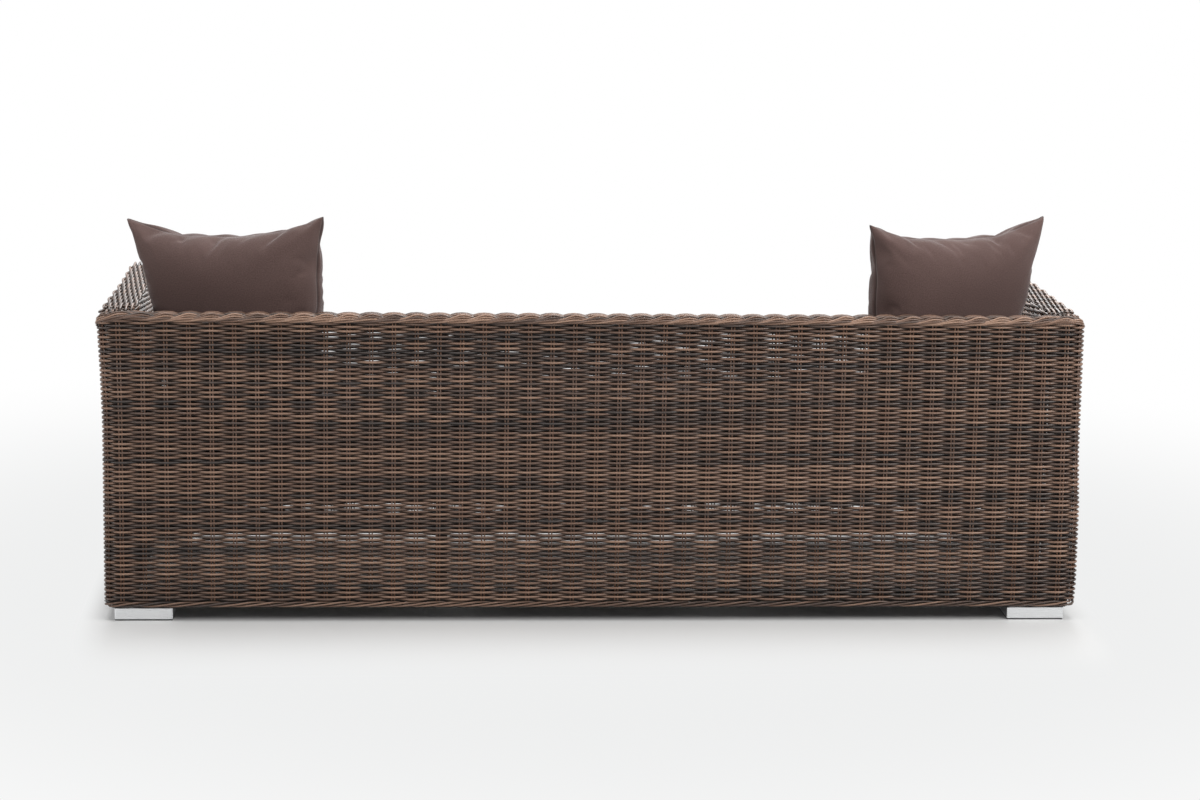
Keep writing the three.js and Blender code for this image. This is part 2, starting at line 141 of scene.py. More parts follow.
def raise_surface(tree, surface, height, distance, strength=1.0):
    """Bumps on a surface, as deep as the distance."""
    bump = add_node(tree, "Bump", Strength=strength, Distance=distance)
    tree.links.new(height, bump.inputs["Height"])
    tree.links.new(bump.outputs["Normal"], surface.inputs["Normal"])


coat, coat_tree, coat_surface = start_material("powder_coat", 0.55, specular=0.35)
coat_grain = speckle(coat_tree, object_coords(coat_tree), 900.0)
coat_patches = speckle(coat_tree, object_coords(coat_tree), 14.0)
paint(coat_tree, coat_surface, coat_patches, COAT_DARK, COAT_LIGHT)
roughen(coat_tree, coat_surface, coat_patches, 0.45, 0.65)
raise_surface(coat_tree, coat_surface, coat_grain, 0.0002, 0.6)


def finish_node(name, material):
    """Gives a CAD node its material."""
    mesh = frame["nodes"][name].data
    mesh.materials.clear()
    mesh.materials.append(material)


for name in FRAME_TUBES:
    finish_node(name, coat)

# The four feet with their gliders and bolts.
# Flat blocks of brushed aluminium on thin black plastic, each held by a steel bolt that
# goes up into the frame. They keep their CAD shape.
ALUMINIUM_DARK = (0.66, 0.67, 0.68, 1.0)
ALUMINIUM_LIGHT = (0.90, 0.91, 0.92, 1.0)
GLIDER_BLACK = (0.012, 0.012, 0.013, 1.0)
GLIDER_WORN = (0.030, 0.030, 0.031, 1.0)
BOLT_STEEL = (0.42, 0.42, 0.43, 1.0)
BOLT_BRIGHT = (0.60, 0.60, 0.61, 1.0)

brushed, brushed_tree, brushed_surface = start_material("brushed_aluminium", 0.3, 1.0)
brush_lines = speckle(brushed_tree, object_coords(brushed_tree, (0.9, 0.9, 60)), 30.0, 6.0, 0.7)
paint(brushed_tree, brushed_surface, brush_lines, ALUMINIUM_DARK, ALUMINIUM_LIGHT)
roughen(brushed_tree, brushed_surface, brush_lines, 0.24, 0.42)
raise_surface(brushed_tree, brushed_surface, brush_lines, 0.0001, 0.25)


def grained_material(name, roughness, metallic, scale, low, high, strength):
    """A finish with a fine grain in its colour and on its surface."""
    material, tree, surface = start_material(name, roughness, metallic)
    grain = speckle(tree, object_coords(tree), scale)
    paint(tree, surface, grain, low, high)
    raise_surface(tree, surface, grain, 0.0001, strength)
    return material


black = grained_material("glider_plastic", 0.5, 0.0, 350.0, GLIDER_BLACK, GLIDER_WORN, 0.4)
steel = grained_material("bolt_steel", 0.35, 1.0, 500.0, BOLT_STEEL, BOLT_BRIGHT, 0.3)

for name in frame["nodes"]:
    for ending, finish in (("_foot", brushed), ("_glider", black), ("_foot_bolt", steel)):
        if name.endswith(ending):
            finish_node(name, finish)

# The outer skin of the back: round resin strands woven in and out of upright pairs of stakes.
# One row lies on the next, and every other row passes in front of a pair. The rows run on
# round the rear corners. It is made as two beds of rows and the stakes that they hold.
STRAND = 0.0050
DRAWN = 0.0051
STAKE = 0.0035
PAIR_GAP = 0.0062
STAKE_PITCH = 0.048
SWING = (STRAND + STAKE) / 2
SKIN = 2 * STRAND + STAKE
WALL_X = 1.050
WALL_Y = 0.400
CORNER_ROUND = 0.025
CORNER_BEND = CORNER_ROUND - SKIN / 2
WEAVE_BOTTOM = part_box("back_outer_weave")[0].z
WEAVE_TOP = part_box("back_outer_weave")[1].z
ROWS = 120
ROW_PITCH = (WEAVE_TOP - WEAVE_BOTTOM) / ROWS
DARK_STRAND = (0.038, 0.030, 0.027, 1.0)
BROWN_STRAND = (0.146, 0.083, 0.056, 1.0)
TAN_STRAND = (0.258, 0.158, 0.110, 1.0)
ROUND_SIDES = 6
# Painted light and shade on the strands: their colour is scaled by how proud they stand, down to
# near black where a row lies behind (painted shade in the recesses) and up past its own colour in
# front (painted light). The stakes are given 1.5 only so that they are painted lighter.
STAKE_PAINTED_LIGHT = 1.5
PROUD_STEPS = (-0.95, -0.3, 0.3, 1.0, 1.5)
PROUD_PAINTED_SHADING = (0.05, 0.45, 1.0, 1.15, 1.4)
STAKE_TONE = 0.55
STAKE_VARIES = 0.35
GRAIN_RUN = 9
STRIPE_EDGE = 0.04
FLARE_FROM = (0.99, -0.1)
FLARE_OVER = (0.05, 0.4)
FLARE_AT = (0.03, 0.08, 0.25, 0.37, 0.43, 0.54, 0.65)
RIGHT_FLARE = (0.0, 0.0, 0.0, 0.0, 0.0, 0.0037, 0.0092)
LEFT_FLARE = (0.002, 0.0055, 0.0055, 0.0, 0.0, 0.0, 0.0)

strand_random = np.random.default_rng(11)
ROW_KINDS = 400
row_starts = strand_random.uniform(0, 2 * math.pi, (ROW_KINDS, 4))
row_tones = strand_random.normal(0, 1, ROW_KINDS)


def tone_of(row, points):
    """How brown a strand is along a row, from 0, dark grey, to 1, tan."""
    starts = row_starts[row % ROW_KINDS]
    x, y = points[:, 0], points[:, 1]
    slow = np.sin(2.3 * x + 1.9 * y + starts[0]) + 0.7 * np.sin(5.1 * x - 3.7 * y + starts[1])
    banks = 0.7 * np.sin(0.31 * row + 4.4 * x) + 0.5 * np.sin(0.83 * row - 3.1 * x + 1.0)
    return 1 / (1 + np.exp(-(1.3 * slow + 1.1 * row_tones[row % ROW_KINDS] + banks + 0.25)))


def flare(points):
    """The rear corners stand out a little, the right one at its top and the left one low down."""
    right = np.interp(points[:, 2], FLARE_AT, RIGHT_FLARE)
    left = np.interp(points[:, 2], FLARE_AT, LEFT_FLARE)
    outwards = np.where(points[:, 0] > 0, right, -left)
    outer = np.clip((abs(points[:, 0]) - FLARE_FROM[0]) / FLARE_OVER[0], 0, 1)
    rear = np.clip((points[:, 1] - FLARE_FROM[1]) / FLARE_OVER[1], 0, 1)
    return points + np.outer(outwards * outer * rear, (1, 0, 0))


def add_object(name, data):
    """A new object in the scene."""
    made = bpy.data.objects.new(name, data)
    bpy.context.scene.collection.objects.link(made)
    return made


def as_it_looks(piece):
    """A mesh of a piece, with its curves and modifiers worked out."""
    shown = piece.evaluated_get(bpy.context.evaluated_depsgraph_get())
    return bpy.data.meshes.new_from_object(shown)


def read_field(rows, field, width=1, kind=float):
    """One field of a mesh's points, edges, corners or faces, or of an attribute."""
    values = np.zeros(len(rows) * width, kind)
    rows.foreach_get(field, values)
    return values.reshape(-1, width) if width > 1 else values


def keep_on_points(mesh, name, values):
    """Keeps a number or a vector for each point of a mesh, under a name."""
    kind, field = ("FLOAT_VECTOR", "vector") if values.ndim == 2 else ("FLOAT", "value")
    mesh.attributes.new(name, kind, "POINT").data.foreach_set(field, values.ravel())


def round_tubes(name, strands, thickness, sides):
    """One mesh of round tubes with closed ends, along the strands."""
    curve = bpy.data.curves.new(name, "CURVE")
    curve.dimensions = "3D"
    curve.bevel_depth = thickness / 2
    curve.bevel_resolution = (sides - 4) // 2
    for points, _row, _proud in strands:
        spline = curve.splines.new("POLY")
        spline.points.add(len(points) - 1)
        spline.points.foreach_set("co", np.c_[flare(points), np.ones(len(points))].ravel())
        spline.points.foreach_set("tilt", np.full(len(points), math.pi / sides))
    laid = add_object(name, curve)
    mesh = as_it_looks(laid)
    bpy.data.objects.remove(laid)
    bpy.data.curves.remove(curve)
    mesh.name = name
    shell = bmesh.new()
    shell.from_mesh(mesh)
    open_ends = [edge for edge in shell.edges if edge.is_boundary]
    bmesh.ops.holes_fill(shell, edges=open_ends, sides=sides)
    shell.to_mesh(mesh)
    shell.free()
    return mesh


def map_stripes(mesh, run, around, stripe, sides):
    """A map with a stripe for each strand, that runs along it and once round it."""
    corners = read_field(mesh.loops, "vertex_index", kind=np.int64)
    starts = read_field(mesh.polygons, "loop_start", kind=np.int64)
    sides_at = around[corners].astype(float)
    face = np.repeat(np.arange(len(starts)), np.diff(np.append(starts, len(corners))))
    highest = np.maximum.reduceat(sides_at, starts)[face]
    sides_at[(sides_at == 0) & (highest == sides - 1)] = sides
    within = STRIPE_EDGE + (1 - 2 * STRIPE_EDGE) * sides_at / sides
    across = (stripe[corners] + within) / (stripe.max() + 1)
    layer = mesh.uv_layers.get("UVMap") or mesh.uv_layers.new(name="UVMap")
    layer.name = "OFBake"
    layer.data.foreach_set("uv", np.stack([run[corners] / run.max(), across], axis=1).ravel())


def lay_strands(name, strands, thickness, sides=ROUND_SIDES):
    """One piece of round strands. A strand is its points, the number of its row, and how proud it
    stands of the weave, from -1, behind it, to 1 in front; this also sets its painted light and
    shade. The mesh keeps each strand's tone, its painted shading, darker where it lies behind and
    lighter in front and on the stakes, and the run of its grain."""
    mesh = round_tubes(name, strands, thickness, sides)
    tones, painted_shading, grain, run, around, stripe = [], [], [], [], [], []
    angles = np.arange(sides) * 2 * math.pi / sides
    for number, (points, row, proud) in enumerate(strands):
        steps = np.linalg.norm(np.diff(points, axis=0), axis=1)
        length = np.repeat(np.concatenate([[0.0], np.cumsum(steps)]), sides)
        offset = row_starts[(row * 7 + 3) % ROW_KINDS]
        tone = tone_of(row, points)
        if np.ndim(proud) == 0 and proud == STAKE_PAINTED_LIGHT:
            tone = STAKE_TONE + STAKE_VARIES * (tone - 0.5)
        tones.append(np.repeat(tone, sides))
        # Painted shade where the strand lies behind, painted light in front and on the stakes.
        shading_scale = np.interp(proud * np.ones(len(points)), PROUD_STEPS, PROUD_PAINTED_SHADING)
        painted_shading.append(np.repeat(shading_scale, sides))
        grain_x = length * GRAIN_RUN + offset[0] * 40
        grain_y = np.tile(np.cos(angles), len(points)) + offset[1] * 9
        grain_z = np.tile(np.sin(angles), len(points)) + offset[2] * 9
        grain.append(np.stack([grain_x, grain_y, grain_z], axis=1))
        run.append(length)
        around.append(np.tile(np.arange(sides), len(points)))
        stripe.append(np.full(len(points) * sides, number))
    keep_on_points(mesh, "tone", np.concatenate(tones))
    keep_on_points(mesh, "painted_shading", np.concatenate(painted_shading))
    keep_on_points(mesh, "grain", np.concatenate(grain))
    map_stripes(mesh, np.concatenate(run), np.concatenate(around), np.concatenate(stripe), sides)
    return add_object(name, mesh)


def combine(tree, kind, operation, *values, clamp=False):
    """A Math or VectorMath node over numbers and other nodes' outputs, and what it gives."""
    node = add_node(tree, kind, operation=operation)
    if clamp:
        node.use_clamp = True
    for socket, value in zip(node.inputs, values):
        if isinstance(value, bpy.types.NodeSocket):
            tree.links.new(value, socket)
        else:
            socket.default_value = value
    return node.outputs["Value" if kind == "Math" or operation == "LENGTH" else "Vector"]


def paint_scaled(tree, surface, colour, share):
    """Colours a surface, darkened by a share."""
    shading = add_node(tree, "VectorMath", operation="SCALE")
    tree.links.new(colour, shading.inputs["Vector"])
    tree.links.new(share, shading.inputs["Scale"])
    tree.links.new(shading.outputs["Vector"], surface.inputs["Base Color"])


def strand_material(name, lift):
    """Extruded resin: a brown that shifts along each strand, with fine lines drawn along it, scaled
    by painted shading: darker where the strand lies behind, lighter in front.
    """
    material, tree, surface = start_material(name, 0.35, specular=0.42)
    grain = add_node(tree, "Attribute", attribute_name="grain")
    tone = add_node(tree, "Attribute", attribute_name="tone")
    lines = speckle(tree, grain.outputs["Vector"], 1.6, 4.0, 0.65)
    ramp = add_node(tree, "ValToRGB")
    ramp.color_ramp.elements[0].color = DARK_STRAND
    ramp.color_ramp.elements[1].color = TAN_STRAND
    ramp.color_ramp.elements.new(0.62).color = BROWN_STRAND
    mottle = combine(tree, "Math", "MULTIPLY_ADD", lines, 0.5, lift - 0.25)
    total = combine(tree, "Math", "ADD", mottle, tone.outputs["Fac"], clamp=True)
    tree.links.new(total, ramp.inputs["Fac"])
    # Painted light and shade: the colour is scaled by the painted shading that each strand keeps.
    painted_shading = add_node(tree, "Attribute", attribute_name="painted_shading")
    paint_scaled(tree, surface, ramp.outputs["Color"], painted_shading.outputs["Fac"])
    roughen(tree, surface, lines, 0.22, 0.38)
    raise_surface(tree, surface, lines, 0.0003, 0.35)
    return material


woven = strand_material("woven_resin", 0.0)


BEND_STEPS = 12
MARKS_STRAIGHT = 4
MARKS_TURNING = 7
NEAR_MARK = 0.001
FLAT_TOP = 0.25
LIE_SLOW = 0.00032
LIE_QUICK = 0.00028


def walk_plan(x, y, heading, legs):
    """Walks the plan of a skin from the middle of the back in straight legs and bends, and
    returns rows of distance, x, y and the direction that faces out. A bend has a radius, and
    turns left where its angle is above 0."""
    distance = 0.0
    facing = heading + math.pi / 2
    rows = [(0.0, x, y, math.cos(facing), math.sin(facing))]
    for length, radius, turn in legs:
        steps = BEND_STEPS if turn else 1
        for _step in range(steps):
            part = radius * abs(math.radians(turn)) / steps if turn else length
            heading += math.radians(turn) / steps / 2
            x += part * math.cos(heading)
            y += part * math.sin(heading)
            heading += math.radians(turn) / steps / 2
            distance += part
            facing = heading + math.pi / 2
            rows.append((distance, x, y, math.cos(facing), math.sin(facing)))
    return np.array(rows)


def make_ring(legs, stakes, bends, inset=0.0):
    """A ring of the weave, the same on both sides of the sofa's middle. Stakes are distances
    along half of it, and bends are the spans that turn, where the rows take more points."""
    plan = walk_plan(0.0, WALL_Y - SKIN / 2 - inset, 0.0, legs)
    marks = []
    for first, last in zip(stakes[:-1], stakes[1:]):
        turning = any(first < end and last > start for start, end in bends)
        parts = MARKS_TURNING if turning else MARKS_STRAIGHT
        marks.extend(first + (last - first) * k / parts for k in range(parts))
    marks.append(stakes[-1])
    return {"plan": plan, "stakes": np.array(stakes), "half": plan[-1, 0], "marks": np.array(marks)}


def along_plan(plan, distance):
    """x, y and the direction that faces out, at distances along a plan."""
    return [np.interp(distance, plan[:, 0], plan[:, k]) for k in (1, 2, 3, 4)]


def on_ring(ring, distance):
    """x, y, the outward direction, and the swing of an even row, at distances round a ring."""
    half = ring["half"]
    signed = (np.asarray(distance, float) + half) % (2 * half) - half
    side = np.where(signed < 0, -1.0, 1.0)
    x, y, out_x, out_y = along_plan(ring["plan"], abs(signed))
    counted = np.interp(abs(signed), ring["stakes"], np.arange(len(ring["stakes"])))
    swing = np.cos(math.pi * counted)
    return x * side, y, out_x * side, out_y, swing * (1 + FLAT_TOP - FLAT_TOP * swing**2)


def all_round(ring, kind):
    """A ring's stakes or marks all the way round."""
    places = ring[kind]
    both_sides = np.concatenate([places, -places, 2 * ring["half"] - places])
    return np.unique(np.round(both_sides, 6))


def steps_round(ring, start, end):
    """Distances round a ring from start to end, with its marks between them."""
    marks = all_round(ring, "marks")
    inner = marks[(marks > start + NEAR_MARK) & (marks < end - NEAR_MARK)]
    return np.concatenate([[start], inner, [end]])


def weaver(ring, start, end, z, row, shift=0):
    """The points of one row from start to end round a ring, its number, and how proud it is."""
    x, y, out_x, out_y, swing = on_ring(ring, steps_round(ring, start, end))
    out = SWING * swing * (-1) ** row
    lie = LIE_SLOW * np.sin(15 * x + 13 * y + 2.4 * row)
    lie += LIE_QUICK * np.sin(37 * x - 29 * y + 1.1 * row)
    places = np.stack([x + out_x * out, y + out_y * out, z + lie], axis=1)
    return places, row + shift, out / SWING


def stake_pairs(ring, start, end, bottom, top, tone):
    """The pairs of stakes from start to end round a ring. Their tones are those of the rows
    that count on from the number given."""
    places = all_round(ring, "stakes")
    pairs = []
    for number, place in enumerate(places[(places > start) & (places < end)]):
        for side in (-1, 1):
            x, y, _out_x, _out_y, _swing = on_ring(ring, place + side * PAIR_GAP / 2)
            line = np.array([(x, y, z) for z in np.linspace(bottom, top, 4)])
            pairs.append((line, tone + number, STAKE_PAINTED_LIGHT))
    return pairs


PANEL_GAP = 0.00015
END_STAKE_IN = 0.014
SIDE_STAKE_IN = 0.015
BACK_PAIRS = 22
SIDE_PAIRS = 16
BACK_STAKE_TONE = 200
BACK_HALF = WALL_X - CORNER_ROUND
CORNER_RUN = CORNER_BEND * math.pi / 2
SIDE_RUN = 2 * (WALL_Y - CORNER_ROUND)
back_stakes = [STAKE_PITCH * k for k in range(BACK_PAIRS)]
side_start = BACK_HALF + CORNER_RUN
side_end = side_start + SIDE_RUN
side_stakes = [side_start + SIDE_STAKE_IN + STAKE_PITCH * k for k in range(SIDE_PAIRS)]
outer_stakes = (
    back_stakes + [BACK_HALF + CORNER_RUN / 2] + side_stakes + [side_end + CORNER_RUN / 2]
)
front_start = side_end + CORNER_RUN
outer_bends = [(BACK_HALF, side_start), (side_end, front_start)]
outer_legs = [(BACK_HALF, 0, 0), (0, CORNER_BEND, -90), (SIDE_RUN, 0, 0), (0, CORNER_BEND, -90)]

# Below the seat the rows go right round, across the front panel.
front_stakes = [front_start + END_STAKE_IN]
front_stakes += [front_start + BACK_HALF - place for place in back_stakes[-2::-1]]
low_ring = make_ring([*outer_legs, (BACK_HALF, 0, 0)], outer_stakes + front_stakes, outer_bends)
BACK_END = side_start + PANEL_GAP


def row_height(row):
    """The middle of a row."""
    return WEAVE_BOTTOM + ROW_PITCH * (row + 0.5)


def rows_round(ring, ends, rows, shift=0):
    """Rows of weavers between two places round a ring."""
    return [weaver(ring, *ends, row_height(row), row, shift) for row in rows]


def ride_as(piece, body, slot, material, *nodes):
    """Puts a finished piece on its body, with its material, in place of the nodes it stands for. The
    slot is not used.
    """
    piece.data.materials.append(material)
    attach(piece, body)
    if nodes:
        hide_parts(*nodes)


def hang_weave(name, strands, thickness, node):
    """Rows or stakes on the sofa's body, in place of a skin of the CAD."""
    ride_as(lay_strands(name, strands, thickness), "sofa_body", "woven_strands", woven, node)


HALF_ROWS = ROWS // 2
back_ends = (-BACK_END, BACK_END)
for part, rows in (("lower", range(HALF_ROWS)), ("upper", range(HALF_ROWS, ROWS))):
    bed = rows_round(low_ring, back_ends, rows)
    hang_weave(f"back_outer_{part}_rows", bed, DRAWN, "back_outer_weave")
stakes = stake_pairs(low_ring, *back_ends, WEAVE_BOTTOM, WEAVE_TOP, BACK_STAKE_TONE)
hang_weave("back_outer_stakes", stakes, STAKE, "back_outer_weave")

# The outer skins of the arms, woven as the back is. Their rows are the same strands, which
# run on from the back round its corners and round the arms' front ends.
ARM_END = side_end - PANEL_GAP
ARM_STAKE_TONE = 240


def hang_panel(name, node, ring, ends, rows, heights, tone, shift=0):
    """A panel of the weave: the rows between two places round a ring, and their stakes."""
    hang_weave(name + "_rows", rows_round(ring, ends, rows, shift), DRAWN, node)
    hang_weave(name + "_stakes", stake_pairs(ring, *ends, *heights, tone), STAKE, node)


full_height = (WEAVE_BOTTOM, WEAVE_TOP)
for side, ends in (("right", (BACK_END, ARM_END)), ("left", (-ARM_END, -BACK_END))):
    name = f"{side}_arm_outer"
    hang_panel(name, name + "_weave", low_ring, ends, range(ROWS), full_height, ARM_STAKE_TONE)

# The front panel under the seat, resin strand woven across from arm to arm over its own pairs
# of stakes. Its top row lies level with the seat deck.
SEAT_LEVEL_ROW = 50
FRONT_STAKE_TONE = 280
low_rows = range(SEAT_LEVEL_ROW)
FRONT_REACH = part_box("front_weave")[1].x + PANEL_GAP
front_edge = low_ring["half"] - FRONT_REACH
front_ends = (front_edge, low_ring["half"] + FRONT_REACH)
deck_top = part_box("seat_deck_weave")[1].z
hang_panel(
    "front_panel", "front_weave", low_ring, front_ends, low_rows, (WEAVE_BOTTOM, deck_top),
    FRONT_STAKE_TONE,
)

# The arms' front ends. Below the seat their rows run on into the front panel, and above it
# they turn round the arm's inner edge into its inner skin.
INNER_EDGE_BEND = 0.012 - SKIN / 2
INNER_CORNER_BEND = 0.006 + SKIN / 2
CORNER_STAKE_OFF = 0.012
INNER_PAIRS = 14
END_STAKE_TONE = 290
EDGE_STAKE_TONE = 294
TOP_FRONT_Y = -0.360
INNER_SKIN_FRONT = -0.37485
ARM_INNER_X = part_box("left_arm_inner_weave")[1].x
INNER_MIDDLE_X = abs(ARM_INNER_X) + SKIN / 2
BACK_INNER_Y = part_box("back_inner_weave")[0].y + 0.006
INNER_MIDDLE_Y = BACK_INNER_Y + SKIN / 2
end_face = BACK_HALF - INNER_MIDDLE_X - INNER_EDGE_BEND
inner_run = INNER_MIDDLE_Y - INNER_CORNER_BEND + WALL_Y - SKIN / 2 - INNER_EDGE_BEND
inner_half = INNER_MIDDLE_X - INNER_CORNER_BEND
edge_turn = INNER_EDGE_BEND * math.pi / 2
corner_turn = INNER_CORNER_BEND * math.pi / 2
inner_start = front_start + end_face + edge_turn
corner_start = inner_start + inner_run
back_inner_start = corner_start + corner_turn
inner_front_y = -(WALL_Y - SKIN / 2 - INNER_EDGE_BEND)
high_stakes = outer_stakes + [front_start + END_STAKE_IN, inner_start - edge_turn / 2]
high_stakes += [
    inner_start + (TOP_FRONT_Y + STAKE_PITCH * k) - inner_front_y for k in range(INNER_PAIRS)
]
high_stakes += [corner_start - CORNER_STAKE_OFF, back_inner_start + CORNER_STAKE_OFF]
high_stakes += [back_inner_start + inner_half - place for place in back_stakes[-3::-1]]
high_ring = make_ring(
    [
        *outer_legs, (end_face, 0, 0), (0, INNER_EDGE_BEND, -90), (inner_run, 0, 0),
        (0, INNER_CORNER_BEND, 90), (inner_half, 0, 0),
    ],
    high_stakes,
    [*outer_bends, (inner_start - edge_turn, inner_start), (corner_start, back_inner_start)],
)
INNER_FRONT = inner_start + INNER_SKIN_FRONT - inner_front_y
for side, turn in (("right", 1), ("left", -1)):
    low_ends = sorted((turn * ARM_END, turn * front_edge))
    bed = rows_round(low_ring, low_ends, low_rows)
    high_ends = sorted((turn * ARM_END, turn * INNER_FRONT))
    bed += rows_round(high_ring, high_ends, range(SEAT_LEVEL_ROW, ROWS))
    hang_weave(f"{side}_arm_front_rows", bed, DRAWN, f"{side}_arm_front_weave")
    stakes = stake_pairs(low_ring, *low_ends, *full_height, END_STAKE_TONE)
    edge_ends = sorted((turn * (inner_start - edge_turn), turn * INNER_FRONT))
    stakes += stake_pairs(high_ring, *edge_ends, deck_top, WEAVE_TOP, EDGE_STAKE_TONE)
    hang_weave(f"{side}_arm_front_stakes", stakes, STAKE, f"{side}_arm_front_weave")

# The inner skins of the arms and of the back, from the seat deck up.
# They are the same rows again, turned inwards round the arms' ends.
INNER_SHIFT = 150
INNER_SKIN_REAR = 0.31625
INNER_DRAWN = 0.0063
INNER_DROP = 0.0004
INNER_WANDER = 0.0007
INNER_ARM_TONE = 300
INNER_BACK_TONE = 330
INNER_BACK = corner_start + INNER_SKIN_REAR - (INNER_MIDDLE_Y - INNER_CORNER_BEND)
inner_rows = range(SEAT_LEVEL_ROW + 1, ROWS)
above_deck = (deck_top, WEAVE_TOP)
for side, ends in (("right", (INNER_FRONT, INNER_BACK)), ("left", (-INNER_BACK, -INNER_FRONT))):
    name = f"{side}_arm_inner"
    hang_panel(
        name, name + "_weave", high_ring, ends, inner_rows, above_deck, INNER_ARM_TONE, INNER_SHIFT
    )
back_ends = (INNER_BACK, 2 * high_ring["half"] - INNER_BACK)
bed = rows_round(high_ring, back_ends, inner_rows, INNER_SHIFT)
for points, row, _proud in bed:
    points[:, 2] += INNER_WANDER * np.sin(61 * points[:, 0] + row_starts[row][1]) - INNER_DROP
hang_weave("back_inner_rows", bed, INNER_DRAWN, "back_inner_weave")
stakes = stake_pairs(high_ring, *back_ends, *above_deck, INNER_BACK_TONE)
hang_weave("back_inner_stakes", stakes, STAKE, "back_inner_weave")

# The tops of the arms and of the back, one band of weave. Its rows run along the arms, turn
# the rear corners and run along the back, over stakes that pass from the outer skin to the
# inner one. At an arm's front end the rows bend down over the edge.
EDGE_BEND = 0.015 - SKIN / 2
INNER_LIP = 0.008 - SKIN / 2
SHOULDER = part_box("back_top_braid")[0].z
TOP_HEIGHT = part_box("back_top_braid")[1].z
INSET_SPAN = WALL_X - SKIN / 2 - INNER_MIDDLE_X
TOP_STEPS = 16
FANNED_ROWS = 7
BACK_FALL = 0.006
# The stakes over the tops are given a proud of -0.3 only so that they are painted darker, as painted
# shade between the rows.
TOP_STAKE_PAINTED_SHADE = -0.3
TOP_REAR_STAKE_Y = 0.264
FAN_SQUEEZE = 0.8
FAN_ON_BACK = 0.017
FAN_REACH = 0.6
FAN_POINTS = 9
TOP_PAIRS = 20
TOP_STAKE_TONE = 340
EDGE_FOOT = 0.6530
highest_row = row_height(ROWS - 1)
over_top = walk_plan(
    0.0, highest_row, math.pi / 2,
    [
        (SHOULDER - highest_row, 0, 0), (0, EDGE_BEND, -90),
        (INSET_SPAN - EDGE_BEND - INNER_LIP, 0, 0), (0, INNER_LIP, -90),
        (TOP_HEIGHT - SKIN / 2 - INNER_LIP - highest_row, 0, 0),
    ],
)


def across_top(step):
    """Inset, height, and how far the surface faces in and up, at a step over the top."""
    distance = over_top[-1, 0] * step / TOP_STEPS
    return [float(value) for value in along_plan(over_top, distance)]


def top_ring(inset, fanned):
    """The ring that a top row follows at an inset. Near the outer edge each corner has four
    more pairs of stakes, which fan out."""
    bend = CORNER_BEND + (INNER_CORNER_BEND - CORNER_BEND) * inset / INSET_SPAN
    straight = WALL_X - SKIN / 2 - inset - bend
    turned = straight + bend * math.pi / 2
    side_rear = WALL_Y - SKIN / 2 - inset - bend
    on_back = back_stakes[:TOP_PAIRS]
    first_side = turned + side_rear - TOP_REAR_STAKE_Y
    on_side = [first_side + STAKE_PITCH * k for k in range(INNER_PAIRS)]
    if fanned:
        pull = 1 - FAN_SQUEEZE * inset / INSET_SPAN
        on_back = [*on_back, TOP_PAIRS * STAKE_PITCH, straight - FAN_ON_BACK * pull]
        on_side = [turned + SIDE_STAKE_IN * pull, first_side - STAKE_PITCH, *on_side]
    ring = make_ring(
        [(straight, 0, 0), (0, bend, -90), (side_rear + WALL_Y, 0, 0)],
        [*on_back, (straight + turned) / 2, *on_side],
        [(straight - NEAR_MARK, turned)],
        inset,
    )
    ring["side_zero"] = turned + side_rear
    return ring


def top_row(step, start_y, end_y, side):
    """A top row on one arm, or on the back where side is 0, between two places in y."""
    inset, height, inward, upward = across_top(step)
    if not side:
        height -= BACK_FALL * inset / INSET_SPAN
    ring = top_ring(inset, step <= FANNED_ROWS)
    if side:
        first, last = ring["side_zero"] - start_y, ring["side_zero"] - end_y
    else:
        last = ring["side_zero"] - start_y
        first = -last
    x, y, out_x, out_y, swing = on_ring(ring, steps_round(ring, first, last) * (side or 1))
    row = ROWS - 1 + step
    out = SWING * swing * (-1) ** row
    face = inward * out
    points = np.stack([x - out_x * face, y - out_y * face, height + upward * out], axis=1)
    return points, row, out / SWING, (x[-1], out[-1], inset, height, inward, upward)


def bend_down(x, out, inset, height, inward, upward, side):
    """The end of an arm's top row, bent down over the arm's front edge."""
    reach = WALL_Y - SKIN / 2
    if inset < CORNER_BEND:
        reach += math.sqrt(CORNER_BEND**2 - (CORNER_BEND - inset) ** 2) - CORNER_BEND
    over_lip = inset - (INSET_SPAN - INNER_EDGE_BEND)
    if over_lip > 0:
        reach += math.sqrt(max(INNER_EDGE_BEND**2 - over_lip**2, 0)) - INNER_EDGE_BEND
    deepest = math.acos(max(1 - (height - EDGE_FOOT) / EDGE_BEND, 0))
    angle = np.linspace(0, deepest, 5)
    tip_x = x - inward * side * np.cos(angle) * out
    tip_y = -reach + EDGE_BEND * (1 - np.sin(angle)) - out * np.sin(angle)
    tip_z = height - EDGE_BEND * (1 - np.cos(angle)) + upward * out * np.cos(angle)
    return np.stack([tip_x, tip_y, tip_z], axis=1)


def over_stakes(number, fanned, side, fall=0.0):
    """A pair of stakes over the top, the one of that number from the middle of the back."""
    steps = np.arange(TOP_STEPS + 1)
    if fanned:
        steps = np.linspace(0, FANNED_ROWS + FAN_REACH, FAN_POINTS)
    pair = []
    for shift in (-1, 1):
        points = []
        for step in steps:
            inset, height, _inward, _upward = across_top(step)
            ring = top_ring(inset, fanned)
            place = side * (ring["stakes"][number] + shift * PAIR_GAP / 2)
            x, y, _out_x, _out_y, _swing = on_ring(ring, place)
            points.append((float(x), float(y), height - fall * inset / INSET_SPAN))
        pair.append((np.array(points), TOP_STAKE_TONE + number + shift, TOP_STAKE_PAINTED_SHADE))
    return pair


